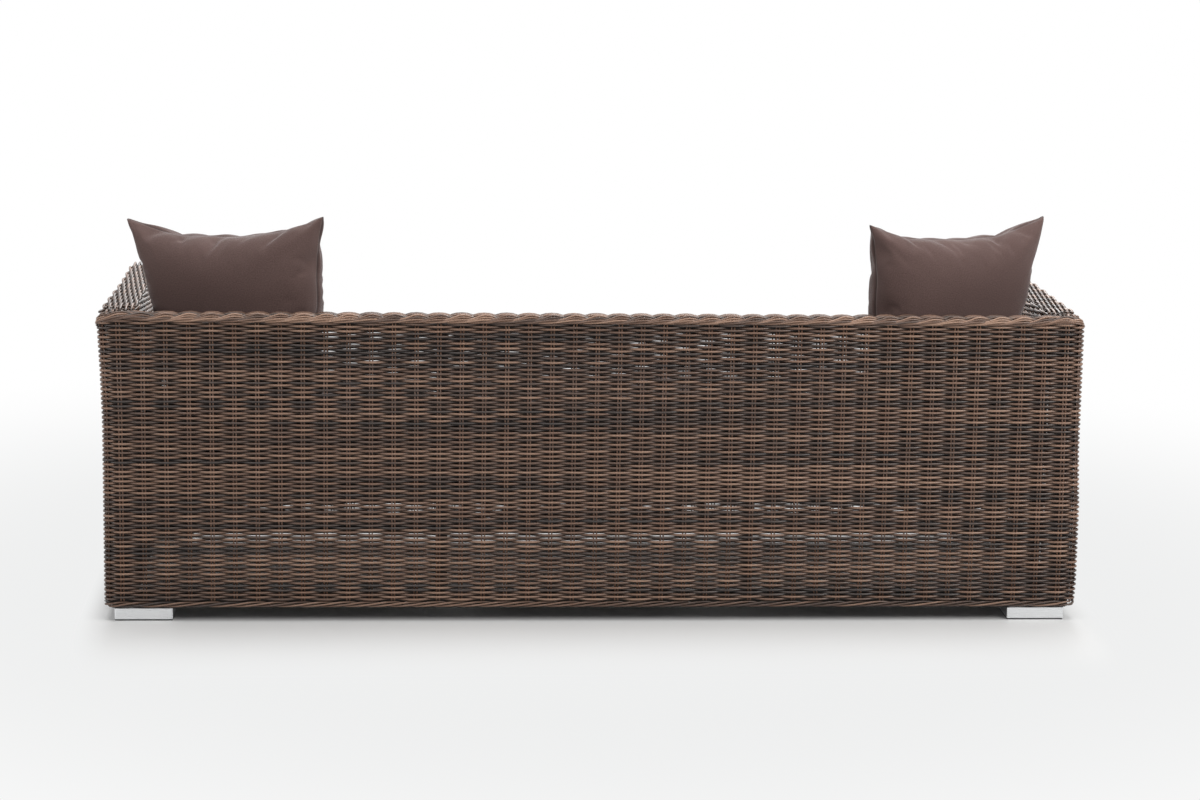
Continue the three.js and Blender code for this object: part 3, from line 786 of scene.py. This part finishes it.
# The pairs of stakes count from the middle of the back: up to 19 on the back, 20 at the corner
# and from 21 on the arm, or up to 21, 22 and from 23 where they fan out.
BORDER_STEPS = 3
for side_name, side in (("right", 1), ("left", -1)):
    band = []
    for step in range(1, TOP_STEPS):
        points, row, proud, row_end = top_row(step, INNER_SKIN_REAR, TOP_FRONT_Y, side)
        tip = bend_down(*row_end, side)
        proud = np.append(proud, np.full(len(tip), proud[-1]))
        band.append((np.concatenate([points, tip]), row, proud))
    hang_weave(f"{side_name}_arm_top_rows", band, DRAWN, f"{side_name}_arm_top_weave")
    pairs = [strand for number in range(21, 35) for strand in over_stakes(number, False, side)]
    pairs += over_stakes(24, True, side)
    hang_weave(f"{side_name}_arm_top_stakes", pairs, STAKE, f"{side_name}_arm_top_weave")
band = [top_row(step, INNER_SKIN_REAR, 0, 0)[:3] for step in range(BORDER_STEPS + 1, TOP_STEPS)]
hang_weave("back_top_rows", band, DRAWN, "back_top_braid")
pairs = over_stakes(0, False, 1, BACK_FALL)
for number, fanned in [*((k, False) for k in range(1, 21)), (20, True), (21, True), (23, True)]:
    for side in (1, -1):
        pairs += over_stakes(number, fanned, side, BACK_FALL)
hang_weave("back_top_stakes", pairs, STAKE, "back_top_braid")

# The border along the outer top edge of the back, three strands from each pair of stakes.
# They rise slowly along the outer face past two pairs, arch over the next at the edge, and
# tuck in behind the strands that follow.
BUNDLE_AT = (-2.0, -1.6, -1.1, -0.75, -0.5, 0.0, 0.35, 0.5, 0.68)
BUNDLE_HEIGHT = (0.6505, 0.6510, 0.6520, 0.6535, 0.6560, 0.6608, 0.6588, 0.6565, 0.6520)
BUNDLE_OUT = (-0.0030, 0.0020, 0.0038, 0.0044, 0.0046, 0.0034, 0.0005, -0.0030, -0.0075)
BUNDLE_SPREAD = (0.0012, 0.0016, 0.0018, 0.0020, 0.0026, 0.0052, 0.0038, 0.0028, 0.0018)
BORDER_STRAND = 0.0042
BORDER_TONE = 40
BUNDLE_STEPS = 22
BUNDLE_FRONT = 0.0038
STRAND_LEAN = 0.40
STRAND_RISE = 0.92
CORNER_RISE = 0.005
CORNER_RISE_IN = 0.035
CORNER_RISE_SPAN = 0.028
CORNER_FALL = 0.014
CORNER_FALL_IN = 0.01
border = strand_material("border_resin", 0.16)


def smooth_through(knots, values, at):
    """A smooth line through values at knots, read at places."""
    knots, values = np.array(knots), np.array(values)
    slopes = np.gradient(values, knots)
    k = np.clip(np.searchsorted(knots, at, side="right") - 1, 0, len(knots) - 2)
    span = knots[k + 1] - knots[k]
    t = (at - knots[k]) / span
    return (
        (2 * t**3 - 3 * t**2 + 1) * values[k] + (t**3 - 2 * t**2 + t) * span * slopes[k]
        + (3 * t**2 - 2 * t**3) * values[k + 1] + (t**3 - t**2) * span * slopes[k + 1]
    )


def bundle_strands(place, number):
    """The three strands of the border that arch over the edge at a place."""
    at = np.linspace(BUNDLE_AT[0], BUNDLE_AT[-1], BUNDLE_STEPS)
    distance = place - at * STAKE_PITCH
    x, y, out_x, out_y, _swing = on_ring(low_ring, distance)
    past_straight = abs(distance) - BACK_HALF
    arch = (past_straight + CORNER_RISE_IN) / CORNER_RISE_SPAN
    fall = np.clip((past_straight + CORNER_FALL_IN) / (CORNER_RUN + CORNER_FALL_IN), 0, 1)
    height = smooth_through(BUNDLE_AT, BUNDLE_HEIGHT, at)
    height += CORNER_RISE * np.exp(-(arch**2)) - CORNER_FALL * fall**2
    out = smooth_through(BUNDLE_AT, BUNDLE_OUT, at)
    spread = smooth_through(BUNDLE_AT, BUNDLE_SPREAD, at)
    strands = []
    for order in (-1, 0, 1):
        lean = out - STRAND_LEAN * order * spread
        rise = height + STRAND_RISE * order * spread
        places = np.stack([x + out_x * lean, y + out_y * lean, rise], axis=1)
        # Painted shade: a border strand is painted darker where it tucks behind.
        proud = np.clip(out / BUNDLE_FRONT, -1, 1)
        strands.append((places, BORDER_TONE + 3 * number + order, proud))
    return strands


bundle_places = [*(-place for place in outer_stakes[22:0:-1]), *outer_stakes[:23]]
bundles = [s for number, place in enumerate(bundle_places) for s in bundle_strands(place, number)]
top_border = lay_strands("back_top_border", bundles, BORDER_STRAND)
ride_as(top_border, "sofa_body", "border_strands", border, "back_top_braid")

# The borders round the bottom edge: three strands twisted round the ends of the stakes.
# Each passes in front of two pairs, rising as it goes, and behind the third, where it is painted a
# little darker as painted shade.
WALE_RISE = 0.0046
WALE_MIDDLE = 0.0373
WALE_STEP = 0.009
# How strongly the painted shade follows a wale strand's swing.
WALE_SHADE_SHARE = 0.25
WALE_TONE = 60


def wale_strand(start, end, strand):
    """One of the three strands between two places round the bottom edge."""
    half, stakes = low_ring["half"], low_ring["stakes"]
    distance = np.linspace(start, end, int((end - start) / WALE_STEP))
    x, y, out_x, out_y, _swing = on_ring(low_ring, distance)
    numbers = np.arange(len(stakes))
    counted = np.interp(abs(distance), stakes, numbers) * np.sign(distance)
    beyond = 2 * numbers[-1] - np.interp(2 * half - distance, stakes, numbers)
    counted = np.where(distance > half, beyond, counted)
    turn = ((strand - counted) / 3) % 1
    front = turn < 2 / 3
    share = np.where(front, turn * 1.5, turn * 3 - 2) * math.pi
    out = np.where(front, np.sin(share), -np.sin(share)) * SWING
    rise = np.where(front, -np.cos(share), np.cos(share)) * WALE_RISE
    places = np.stack([x + out_x * out, y + out_y * out, WALE_MIDDLE + rise], axis=1)
    return places, WALE_TONE + strand, WALE_SHADE_SHARE * out / SWING


for place, start, end in (
    ("rear", -BACK_END, BACK_END),
    ("right", BACK_END, ARM_END),
    ("left", -ARM_END, -BACK_END),
    ("front", ARM_END, 2 * low_ring["half"] - ARM_END),
):
    twisted = [wale_strand(start, end, k) for k in range(3)]
    wale = lay_strands(f"{place}_bottom_wale", twisted, BORDER_STRAND)
    ride_as(wale, "sofa_body", "border_strands", woven, f"{place}_bottom_border")

# The seat deck: a more open weave of the same strand, straight across between the skins.
# It lies on the seat rails and cross bars, and the cushions lie on it.
DECK_PITCH = 0.0076
DECK_EDGE = 0.001
DECK_PAIRS = 20
DECK_ROW_TONE = 180
DECK_STAKE_TONE = 200
deck_low, deck_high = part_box("seat_deck_weave")
deck_middle = (deck_low.z + deck_high.z) / 2
deck_rows = int((deck_high.y - deck_low.y - STRAND) / DECK_PITCH)
deck_ends = [deck_low.x + DECK_EDGE, deck_high.x - DECK_EDGE]
quarters = np.arange(-4 * DECK_PAIRS - 1, 4 * DECK_PAIRS + 2)
deck_x = np.unique(np.concatenate([deck_ends, quarters * STAKE_PITCH / 4]))
bed = []
for row in range(deck_rows + 1):
    y = deck_low.y + STRAND / 2 + DECK_EDGE + DECK_PITCH * row
    up = SWING * np.cos(math.pi * deck_x / STAKE_PITCH) * (-1) ** row
    places = np.stack([deck_x, np.full(len(deck_x), y), deck_middle + up], axis=1)
    # How high the strand lies also sets its painted shade, darker where it dips.
    bed.append((places, DECK_ROW_TONE + row, up / SWING))
hang_weave("seat_deck_rows", bed, STRAND, "seat_deck_weave")
bed = []
for number, x in enumerate(np.arange(-DECK_PAIRS, DECK_PAIRS + 1) * STAKE_PITCH):
    for side in (-1, 1):
        ends = np.linspace(deck_low.y + DECK_EDGE, deck_high.y - DECK_EDGE, 4)
        line = [(x + side * PAIR_GAP / 2, y, deck_middle) for y in ends]
        bed.append((np.array(line), DECK_STAKE_TONE + number, STAKE_PAINTED_LIGHT))
hang_weave("seat_deck_stakes", bed, STAKE, "seat_deck_weave")

# The three seat cushions: foam pads in brown outdoor cloth, boxed, with piping round the top
# and the bottom. They lie loose on the deck. The cover is cloth that swells by simulation,
# crowned on top and flat where it rests.
CLOTH_DARK = (0.069, 0.040, 0.036, 1.0)
CLOTH_LIGHT = (0.124, 0.076, 0.067, 1.0)
CLOTH_FADED = (0.135, 0.086, 0.077, 1.0)
THREAD = 0.0011
PAD_TOP = 0.098
PAD_CROWN = 0.012
PAD_PULL = 0.006
PAD_ROUNDING = 0.014
PAD_SLACK = 0.002
PAD_CAP = 0.007
PAD_CELL = 0.0105
PAD_CORNER_DROP = 0.0035
PAD_LIFT = 0.0002
PAD_DOME = 0.004
PIPING = 0.0052
PIPING_OFF = 0.0012
PIPING_TONE = 90
ON_EDGE = 1 - 1e-4


def cloth_material(name, attribute):
    """Plain woven outdoor cloth: crossing threads, a heathered brown, a little fading, and painted
    shade along its seams.
    """
    material, tree, surface = start_material(name, 0.88, specular=0.25)
    surface.inputs["Sheen Weight"].default_value = 0.35
    surface.inputs["Sheen Roughness"].default_value = 0.45
    laid = add_node(tree, "Attribute", attribute_name=attribute)
    parts = add_node(tree, "SeparateXYZ")
    tree.links.new(laid.outputs["Vector"], parts.inputs[0])
    crossing = []
    for axis in (0, 1):
        turn = combine(tree, "Math", "MULTIPLY", parts.outputs[axis], math.pi / THREAD)
        crossing.append(combine(tree, "Math", "SINE", turn))
    threads = combine(tree, "Math", "MULTIPLY", *crossing)
    heather = speckle(tree, laid.outputs["Vector"], 420.0, 4.0, 0.7)
    patches = speckle(tree, laid.outputs["Vector"], 6.0, 3.0, 0.6)
    base = shade_between(tree, spread_to(tree, heather, 0, 1, 0.35, 0.65), CLOTH_DARK, CLOTH_LIGHT)
    fade = spread_to(tree, patches, 0.0, 0.55, 0.45, 0.75)
    faded = shade_between(tree, fade, CLOTH_DARK, CLOTH_FADED)
    tree.links.new(base, faded.node.inputs[6])
    # Painted shade along the seams: the colour is darkened where the seam attribute is high.
    sewn = add_node(tree, "Attribute", attribute_name="seam")
    seam_painted_shade = spread_to(tree, sewn.outputs["Fac"], 1.0, 0.45, 0.5, 0.95)
    paint_scaled(tree, surface, faded, seam_painted_shade)
    rough = combine(tree, "Math", "MULTIPLY_ADD", threads, 0.6, heather)
    raise_surface(tree, surface, rough, 0.0004, 0.5)
    return material


def put_points(mesh, places):
    """Moves a mesh's points."""
    mesh.vertices.foreach_set("co", places.ravel())
    mesh.update()


def swell_cloth(piece, pressure, frames, bending, squeeze):
    """The places of a cover's points after its cloth has swelled."""
    cloth = piece.modifiers.new("cloth", "CLOTH")
    cloth.settings.quality = 5
    cloth.settings.mass = 0.12
    cloth.settings.use_pressure = True
    cloth.settings.uniform_pressure_force = pressure
    cloth.settings.tension_stiffness = 80
    cloth.settings.compression_stiffness = squeeze
    cloth.settings.shear_stiffness = 8
    cloth.settings.bending_stiffness = bending
    cloth.settings.effector_weights.gravity = 0
    cloth.point_cache.frame_start = 1
    cloth.point_cache.frame_end = frames
    for moment in range(1, frames + 1):
        bpy.context.scene.frame_set(moment)
    swelled = as_it_looks(piece)
    places = read_field(swelled.vertices, "co", 3)
    bpy.data.meshes.remove(swelled)
    piece.modifiers.clear()
    bpy.context.scene.frame_set(1)
    return places


def subdivide_cover(piece):
    """Rounds a cover with one subdivision."""
    rounding = piece.modifiers.new("rounding", "SUBSURF")
    rounding.levels = rounding.render_levels = 1
    finer = as_it_looks(piece)
    piece.modifiers.clear()
    piece.data = finer
    for face in finer.polygons:
        face.use_smooth = True


def add_shape(name, shape):
    """A new object from a bmesh."""
    mesh = bpy.data.meshes.new(name)
    shape.to_mesh(mesh)
    shape.free()
    return add_object(name, mesh)


def pad_cover(name, width, depth):
    """A boxed cover as a cube of cloth with even cells, its points from -1 to 1."""
    box = bmesh.new()
    bmesh.ops.create_cube(box, size=2)
    for axis, length in enumerate((width, depth, PAD_TOP)):
        along = [e for e in box.edges if abs(e.verts[0].co[axis] - e.verts[1].co[axis]) > 1e-4]
        cuts = round(length / PAD_CELL) - 1
        bmesh.ops.subdivide_edges(box, edges=along, cuts=cuts, use_grid_fill=True)
    return add_shape(name, box)


def pad_form(spots, width, depth):
    """The crowned form of a pad over its spots from -1 to 1."""
    u, v, w = spots[:, 0], spots[:, 1], spots[:, 2]
    round_off = PAD_ROUNDING * (w**4 + abs(u * v) ** 10 / 3)
    x = u * (width / 2 - PAD_SLACK - PAD_PULL * (1 - v**2) - round_off)
    y = v * (depth / 2 - PAD_SLACK - PAD_PULL * (1 - u**2) - round_off)
    crown = PAD_CROWN * (1 - u**4) * (1 - v**4)
    crown -= PAD_CORNER_DROP * np.maximum(abs(u), abs(v)) ** 12
    z = PAD_TOP * (w + 1) / 2 + np.maximum(w, 0) * crown
    return np.stack([x, y, z], axis=1)


def rim_line(places, spots, level):
    """The points along a pad's top or bottom edge, in order, closed."""
    u, v, w = spots[:, 0], spots[:, 1], spots[:, 2]
    rim = np.where((w * level > ON_EDGE) & (np.maximum(abs(u), abs(v)) > ON_EDGE))[0]
    order = rim[np.argsort(np.arctan2(v[rim], u[rim]))]
    return places[[*order, *order[:2]]]


seat_cloth = cloth_material("seat_cloth", "laid")
piping_cloth = cloth_material("piping_cloth", "grain")
for place in ("left", "middle", "right"):
    node = f"{place}_seat_cushion"
    low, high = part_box(node)
    width, depth = high.x - low.x, high.y - low.y
    cover = pad_cover(node + "_cover", width, depth)
    spots = read_field(cover.data.vertices, "co", 3)
    middle = np.array([(low.x + high.x) / 2, (low.y + high.y) / 2, low.z])
    start = pad_form(spots, width, depth) + middle
    put_points(cover.data, start)
    sides = abs(spots[:, 2]) < ON_EDGE
    laid = np.where(sides[:, None], start[:, [0, 2, 1]], start)
    laid[sides, 0] += start[sides, 1]
    on_rim = ~sides & (abs(spots[:, :2]).max(axis=1) > ON_EDGE)
    keep_on_points(cover.data, "laid", laid)
    keep_on_points(cover.data, "seam", on_rim.astype(float))
    moved = swell_cloth(cover, pressure=4.0, frames=16, bending=0.3, squeeze=80) - start
    far = np.linalg.norm(moved, axis=1)
    moved *= np.minimum(1, PAD_CAP / np.maximum(far, 1e-6))[:, None]
    settled = start + moved
    settled[:, 0] = np.clip(settled[:, 0], low.x, high.x)
    settled[:, 1] = np.clip(settled[:, 1], low.y, high.y)
    settled[:, 2] = np.clip(settled[:, 2], low.z + PAD_LIFT, high.z + PAD_DOME)
    put_points(cover.data, settled)
    seams = []
    for number, level in enumerate((-1, 1)):
        line = rim_line(settled, spots, level)
        line[:, 2] += PIPING_OFF * level
        line[:, 2] = np.maximum(line[:, 2], low.z + PIPING / 2)
        seams.append((line, PIPING_TONE + number, 0.0))
    subdivide_cover(cover)
    ride_as(cover, f"{place}_seat", "seat_fabric", seat_cloth, node)
    seams = lay_strands(node + "_piping", seams, PIPING, 8)
    ride_as(seams, f"{place}_seat", "seat_fabric", piping_cloth, node)

# The two scatter cushions in the rear corners: two panels of the same cloth, sewn together at
# their edges and filled. They stand on the outer seat cushions and lean against the back.
SCATTER_CUT = 0.455
SIDE_BOW = 0.008
TOP_HOLLOW = 0.003
SCATTER_CELLS = 60
GATHER = 0.0025
GATHER_LENGTH = 0.070
SCATTER_THICK = 0.148
SCATTER_HEIGHT = 0.440
SCATTER_WIDTH = 0.436
SCATTER_SHEAR = 0.35
NARROWED = 0.15
SEAM_DEPTH = 0.0026
EAR_STANDS = 0.010
CLEAR = 0.0012
PANEL_LIFT = 0.020
PANEL_WAVE = 0.0004
EASE_ROUNDS = 10
EASE_NEAR_SEAM = 0.86
EASE_NEAR_SPAN = 0.10
EASE_OFF_CORNER = 0.90
EASE_OFF_SPAN = 0.15
YAW_OUT = 15
LEAN_BACK = 6
SLUMP_HEIGHT = 0.6
SEAT_NEAR = 0.06
ARM_NEAR = 0.004

scatter_cloth = cloth_material("scatter_cloth", "laid")


def scatter_cover(name, seed):
    """Two panels sewn at their gathered edges, a little apart in the middle."""
    chance = np.random.default_rng(seed)
    edge_starts = chance.uniform(0, 2 * math.pi, (4, 3))
    shape = bmesh.new()
    laid = shape.verts.layers.float_vector.new("laid")
    seam = shape.verts.layers.float.new("seam")
    for face in (1, -1):
        panel = bmesh.ops.create_grid(
            shape, x_segments=SCATTER_CELLS, y_segments=SCATTER_CELLS, size=0.5
        )
        starts = chance.uniform(0, 2 * math.pi, 4)
        for vert in panel["verts"]:
            u, v = 2 * vert.co.x, 2 * vert.co.y
            lift = math.sqrt(max((1 - u**4) * (1 - v**4), 0))
            slants = [(9 + 5 * k) * (u + (v if k % 2 else -v)) + starts[k] for k in range(4)]
            waves = sum(math.sin(slant) for slant in slants)
            x = u * (SCATTER_CUT / 2 + SIDE_BOW * (1 - v**2))
            z = v * (SCATTER_CUT / 2 - TOP_HOLLOW * (1 - u**2))
            y = -face * lift * (PANEL_LIFT + PANEL_WAVE * waves)
            for k in range(3):
                turn = 2 * math.pi / (GATHER_LENGTH * (1 + 0.35 * k))
                along_side = math.sin(turn * z + edge_starts[int(u > 0), k])
                along_top = math.sin(turn * x + edge_starts[2 + int(v > 0), k])
                y += GATHER * (u**12 * (1 - v**8) * along_side + v**12 * (1 - u**8) * along_top)
            vert.co = (x, y, z)
            vert[laid] = (x, z, 0.5 * face)
            vert[seam] = float(max(abs(u), abs(v)) > ON_EDGE)
    bmesh.ops.remove_doubles(shape, verts=shape.verts, dist=1e-5)
    bmesh.ops.recalc_face_normals(shape, faces=shape.faces)
    return add_shape(name, shape)


def ease_ripples(cover, form):
    """Eases the ripples along the seams of a cover, except near its corners."""
    laid = read_field(cover.data.attributes["laid"].data, "vector", 3)[:, :2] / (SCATTER_CUT / 2)
    furthest, nearest = abs(laid).max(axis=1), abs(laid).min(axis=1)
    near_seam = np.clip((furthest - EASE_NEAR_SEAM) / EASE_NEAR_SPAN, 0, 1)
    ease = near_seam * np.clip((EASE_OFF_CORNER - nearest) / EASE_OFF_SPAN, 0, 1) / 2
    ends = read_field(cover.data.edges, "vertices", 2, np.int64)
    span = abs(laid[ends[:, 0]] - laid[ends[:, 1]])
    by_top = abs(laid[:, 1]) > abs(laid[:, 0])
    first, last = np.concatenate([ends, ends[:, ::-1]]).T
    follows = by_top[first] == np.tile(span[:, 0] > span[:, 1], 2)
    first, last = first[follows], last[follows]
    beside = np.maximum(np.bincount(first, minlength=len(form)), 1)[:, None]
    for _round in range(EASE_ROUNDS):
        sums = [np.bincount(first, form[last, axis], len(form)) for axis in range(3)]
        total = np.stack(sums, axis=1)
        form = form + ease[:, None] * (beside > 1) * (total / beside - form)
    return form


# For each, the side, the seed of its folds, its lean in degrees, the gap that it leaves to the
# arm, and how far its side slumps inwards.
SCATTERS = {"left": (-1, 5, -0.9, 0.020, 0.006), "right": (1, 4, 2.5, 0.0, 0.037)}
for place, (side, seed, lean, gap, slump) in SCATTERS.items():
    node = f"{place}_scatter_cushion"
    low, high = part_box(node)
    cover = scatter_cover(node + "_cover", seed)
    form = ease_ripples(cover, swell_cloth(cover, pressure=8.0, frames=12, bending=0.01, squeeze=3))
    form *= np.array([SCATTER_WIDTH, SCATTER_THICK, SCATTER_HEIGHT]) / np.ptp(form, axis=0)
    form[:, 0] += side * SCATTER_SHEAR * form[:, 1]
    put_points(cover.data, form)
    subdivide_cover(cover)
    sewn = read_field(cover.data.attributes["seam"].data, "value") > 0.9
    normals = read_field(cover.data.vertices, "normal", 3)
    form = read_field(cover.data.vertices, "co", 3) - normals * SEAM_DEPTH * sewn[:, None]
    turns = (
        Matrix.Rotation(math.radians(-side * YAW_OUT), 3, "Z")
        @ Matrix.Rotation(math.radians(-LEAN_BACK), 3, "X")
        @ Matrix.Rotation(math.radians(side * lean), 3, "Y")
    )
    form = form @ np.array(turns).T
    low.x, high.x = low.x + gap * (side < 0), high.x - gap * (side > 0)
    for axis in range(3):
        start, end = form[:, axis].min(), form[:, axis].max()
        room = high[axis] - low[axis] + (EAR_STANDS if axis == 2 else 0)
        form[:, axis] = low[axis] + (form[:, axis] - start) * room / (end - start)
    middle_side = low.x if side > 0 else high.x
    rise = np.clip((form[:, 2] - low.z) / (high.z - low.z), 0, 1)
    reach = (form[:, 0] - middle_side) * (1 - NARROWED * (1 - rise))
    drawn_in = slump * np.minimum(rise / SLUMP_HEIGHT, 1) * (1 - abs(reach) / (high.x - low.x))
    form[:, 0] = middle_side + reach - side * drawn_in
    seat_cover = bpy.data.objects[f"{place}_seat_cushion_cover"]
    seat = BVHTree.FromObject(seat_cover, bpy.context.evaluated_depsgraph_get())
    for number in np.where(form[:, 2] < low.z + SEAT_NEAR)[0]:
        hit = seat.ray_cast(Vector((form[number, 0], form[number, 1], 1.0)), Vector((0, 0, -1)))[0]
        if hit is not None:
            form[number, 2] = max(form[number, 2], hit.z + CLEAR)
    below_arm = form[:, 2] < TOP_HEIGHT + ARM_NEAR
    arm_face = abs(ARM_INNER_X) - CLEAR
    form[:, 0] = np.where(below_arm, np.clip(form[:, 0], -arm_face, arm_face), form[:, 0])
    form[:, 1] = np.where(below_arm, np.minimum(form[:, 1], BACK_INNER_Y - CLEAR), form[:, 1])
    put_points(cover.data, form)
    ride_as(cover, f"{place}_scatter", "scatter_fabric", scatter_cloth, node)

# The camera stands behind the sofa, a little above it, where the photograph was taken from.
# Its place and turns come from the outline of the back, the feet and the arms.
CAMERA_PLACE = (0.437, 6.948, 1.685)
CAMERA_YAW = math.radians(-3.87)
CAMERA_PITCH = math.radians(10.36)
CAMERA_ROLL = math.radians(0.88)
CAMERA_LENS = 94.05
across = Vector((-math.cos(CAMERA_YAW), -math.sin(CAMERA_YAW), 0))
level = Vector((math.sin(CAMERA_YAW), -math.cos(CAMERA_YAW), 0))
upright = Vector((0, 0, 1))
ahead = level * math.cos(CAMERA_PITCH) - upright * math.sin(CAMERA_PITCH)
above = upright * math.cos(CAMERA_PITCH) + level * math.sin(CAMERA_PITCH)
rolled_across = across * math.cos(CAMERA_ROLL) + above * math.sin(CAMERA_ROLL)
rolled_above = above * math.cos(CAMERA_ROLL) - across * math.sin(CAMERA_ROLL)
lens = bpy.data.cameras.new("photo_view")
lens.lens = CAMERA_LENS
lens.clip_end = 100
camera = add_object("photo_view", lens)
turned = Matrix((rolled_across, rolled_above, -ahead)).transposed().to_4x4()
camera.matrix_world = Matrix.Translation(CAMERA_PLACE) @ turned
bpy.context.scene.camera = camera

# A plain pale studio floor that fades to white, and soft boxes above, behind, in front and at
# the left. Past the sofa's shadow the camera sees the floor in its own pale colour.
FLOOR_PALE = (0.66, 0.66, 0.655, 1.0)
FLOOR_SCUFFED = (0.63, 0.63, 0.625, 1.0)
FLOOR_SEEN = (0.86, 0.865, 0.865, 1.0)
WHITE = (1.0, 1.0, 1.0, 1.0)
SHADOW_REACH = 0.45
SIDE_FADE = 5
FADE_TUCK = 0.035
FADE_START = 1.1
FADE_END = 3.0
ROOM_LIGHT = 0.27
floor_shape = bmesh.new()
bmesh.ops.create_grid(floor_shape, x_segments=1, y_segments=1, size=30.0)
floor = add_shape("floor", floor_shape)
pale, pale_tree, pale_surface = start_material("studio_floor", 0.5, specular=0.25)
floor_marks = speckle(pale_tree, object_coords(pale_tree), 3.0)
paint(pale_tree, pale_surface, floor_marks, FLOOR_PALE, FLOOR_SCUFFED)


def smooth_fade(tree, value, start, end):
    """0 up to a start, 1 beyond an end, and smooth between them."""
    fade = add_node(tree, "MapRange", interpolation_type="SMOOTHSTEP")
    fade.inputs["From Min"].default_value = start
    fade.inputs["From Max"].default_value = end
    tree.links.new(value, fade.inputs["Value"])
    return fade.outputs["Result"]


def how_far(tree, stretch, corner):
    """How far a place is from a rectangle round the origin, with its axes stretched."""
    folded = combine(tree, "VectorMath", "ABSOLUTE", object_coords(tree, stretch))
    past = combine(tree, "VectorMath", "SUBTRACT", folded, corner)
    beside = combine(tree, "VectorMath", "MAXIMUM", past)
    return combine(tree, "VectorMath", "LENGTH", beside)


shadow_corner = (SIDE_FADE * (WALL_X - FADE_TUCK), WALL_Y, 0)
beside_sofa = how_far(pale_tree, (SIDE_FADE, 1, 1), shadow_corner)
past_shadow = smooth_fade(pale_tree, beside_sofa, 0.0, SHADOW_REACH)
from_middle = how_far(pale_tree, (1, 1, 1), (0, 0, 0))
past_floor = smooth_fade(pale_tree, from_middle, FADE_START, FADE_END)


def seen_directly(tree):
    """1 for what the camera or a reflection sees, 0 for what lights the object."""
    rays = add_node(tree, "LightPath").outputs
    seen = combine(tree, "Math", "MAXIMUM", rays["Is Camera Ray"], rays["Is Glossy Ray"])
    return combine(tree, "Math", "MAXIMUM", seen, rays["Is Transmission Ray"])


def choose_surface(tree, share, first, second, output):
    """Shows the first shader, or the second by a share from 0 to 1."""
    choice = add_node(tree, "MixShader")
    tree.links.new(share, choice.inputs[0])
    tree.links.new(first.outputs[0], choice.inputs[1])
    tree.links.new(second.outputs[0], choice.inputs[2])
    tree.links.new(choice.outputs[0], output.inputs["Surface"])


whitened = combine(pale_tree, "Math", "MULTIPLY", seen_directly(pale_tree), past_shadow)
far_white = add_node(pale_tree, "Emission", Strength=1.0)
far_shade = shade_between(pale_tree, past_floor, FLOOR_SEEN, WHITE)
pale_tree.links.new(far_shade, far_white.inputs["Color"])
pale_out = pale_tree.nodes["Material Output"]
choose_surface(pale_tree, whitened, pale_surface, far_white, pale_out)
floor.data.materials.append(pale)

world = bpy.data.worlds.new("studio")
bpy.context.scene.world = world
world.use_nodes = True
world_tree = world.node_tree
world_tree.nodes.clear()
soft = add_node(world_tree, "Background", Color=WHITE, Strength=ROOM_LIGHT)
white = add_node(world_tree, "Background", Color=WHITE, Strength=1.0)
world_out = add_node(world_tree, "OutputWorld")
choose_surface(world_tree, seen_directly(world_tree), soft, white, world_out)


def hang_softbox(name, width, length, power, place, aim):
    """A soft lamp that looks at a place."""
    light = bpy.data.lights.new(name, "AREA")
    light.shape = "RECTANGLE"
    light.size = width
    light.size_y = length
    light.energy = power
    lamp = add_object(name, light)
    lamp.location = place
    lamp.rotation_euler = (Vector(aim) - Vector(place)).to_track_quat("-Z", "Y").to_euler()
    lamp.visible_camera = False


hang_softbox("overhead", 4.5, 3.0, 124, (0, 0.3, 3.4), (0, 0.2, 0.3))
hang_softbox("rear_softbox", 3.0, 1.4, 136, (-3.4, 2.7, 3.0), (-0.3, 0.3, 0.4))
hang_softbox("front_softbox", 3.0, 1.4, 64, (-0.6, -4.2, 2.7), (0, -0.3, 0.4))
hang_softbox("left_softbox", 0.5, 1.5, 42, (4.4, 2.0, 1.5), (0.9, 0.0, 0.3))
bpy.context.scene.view_settings.view_transform = "Standard"

bpy.context.view_layer.update()
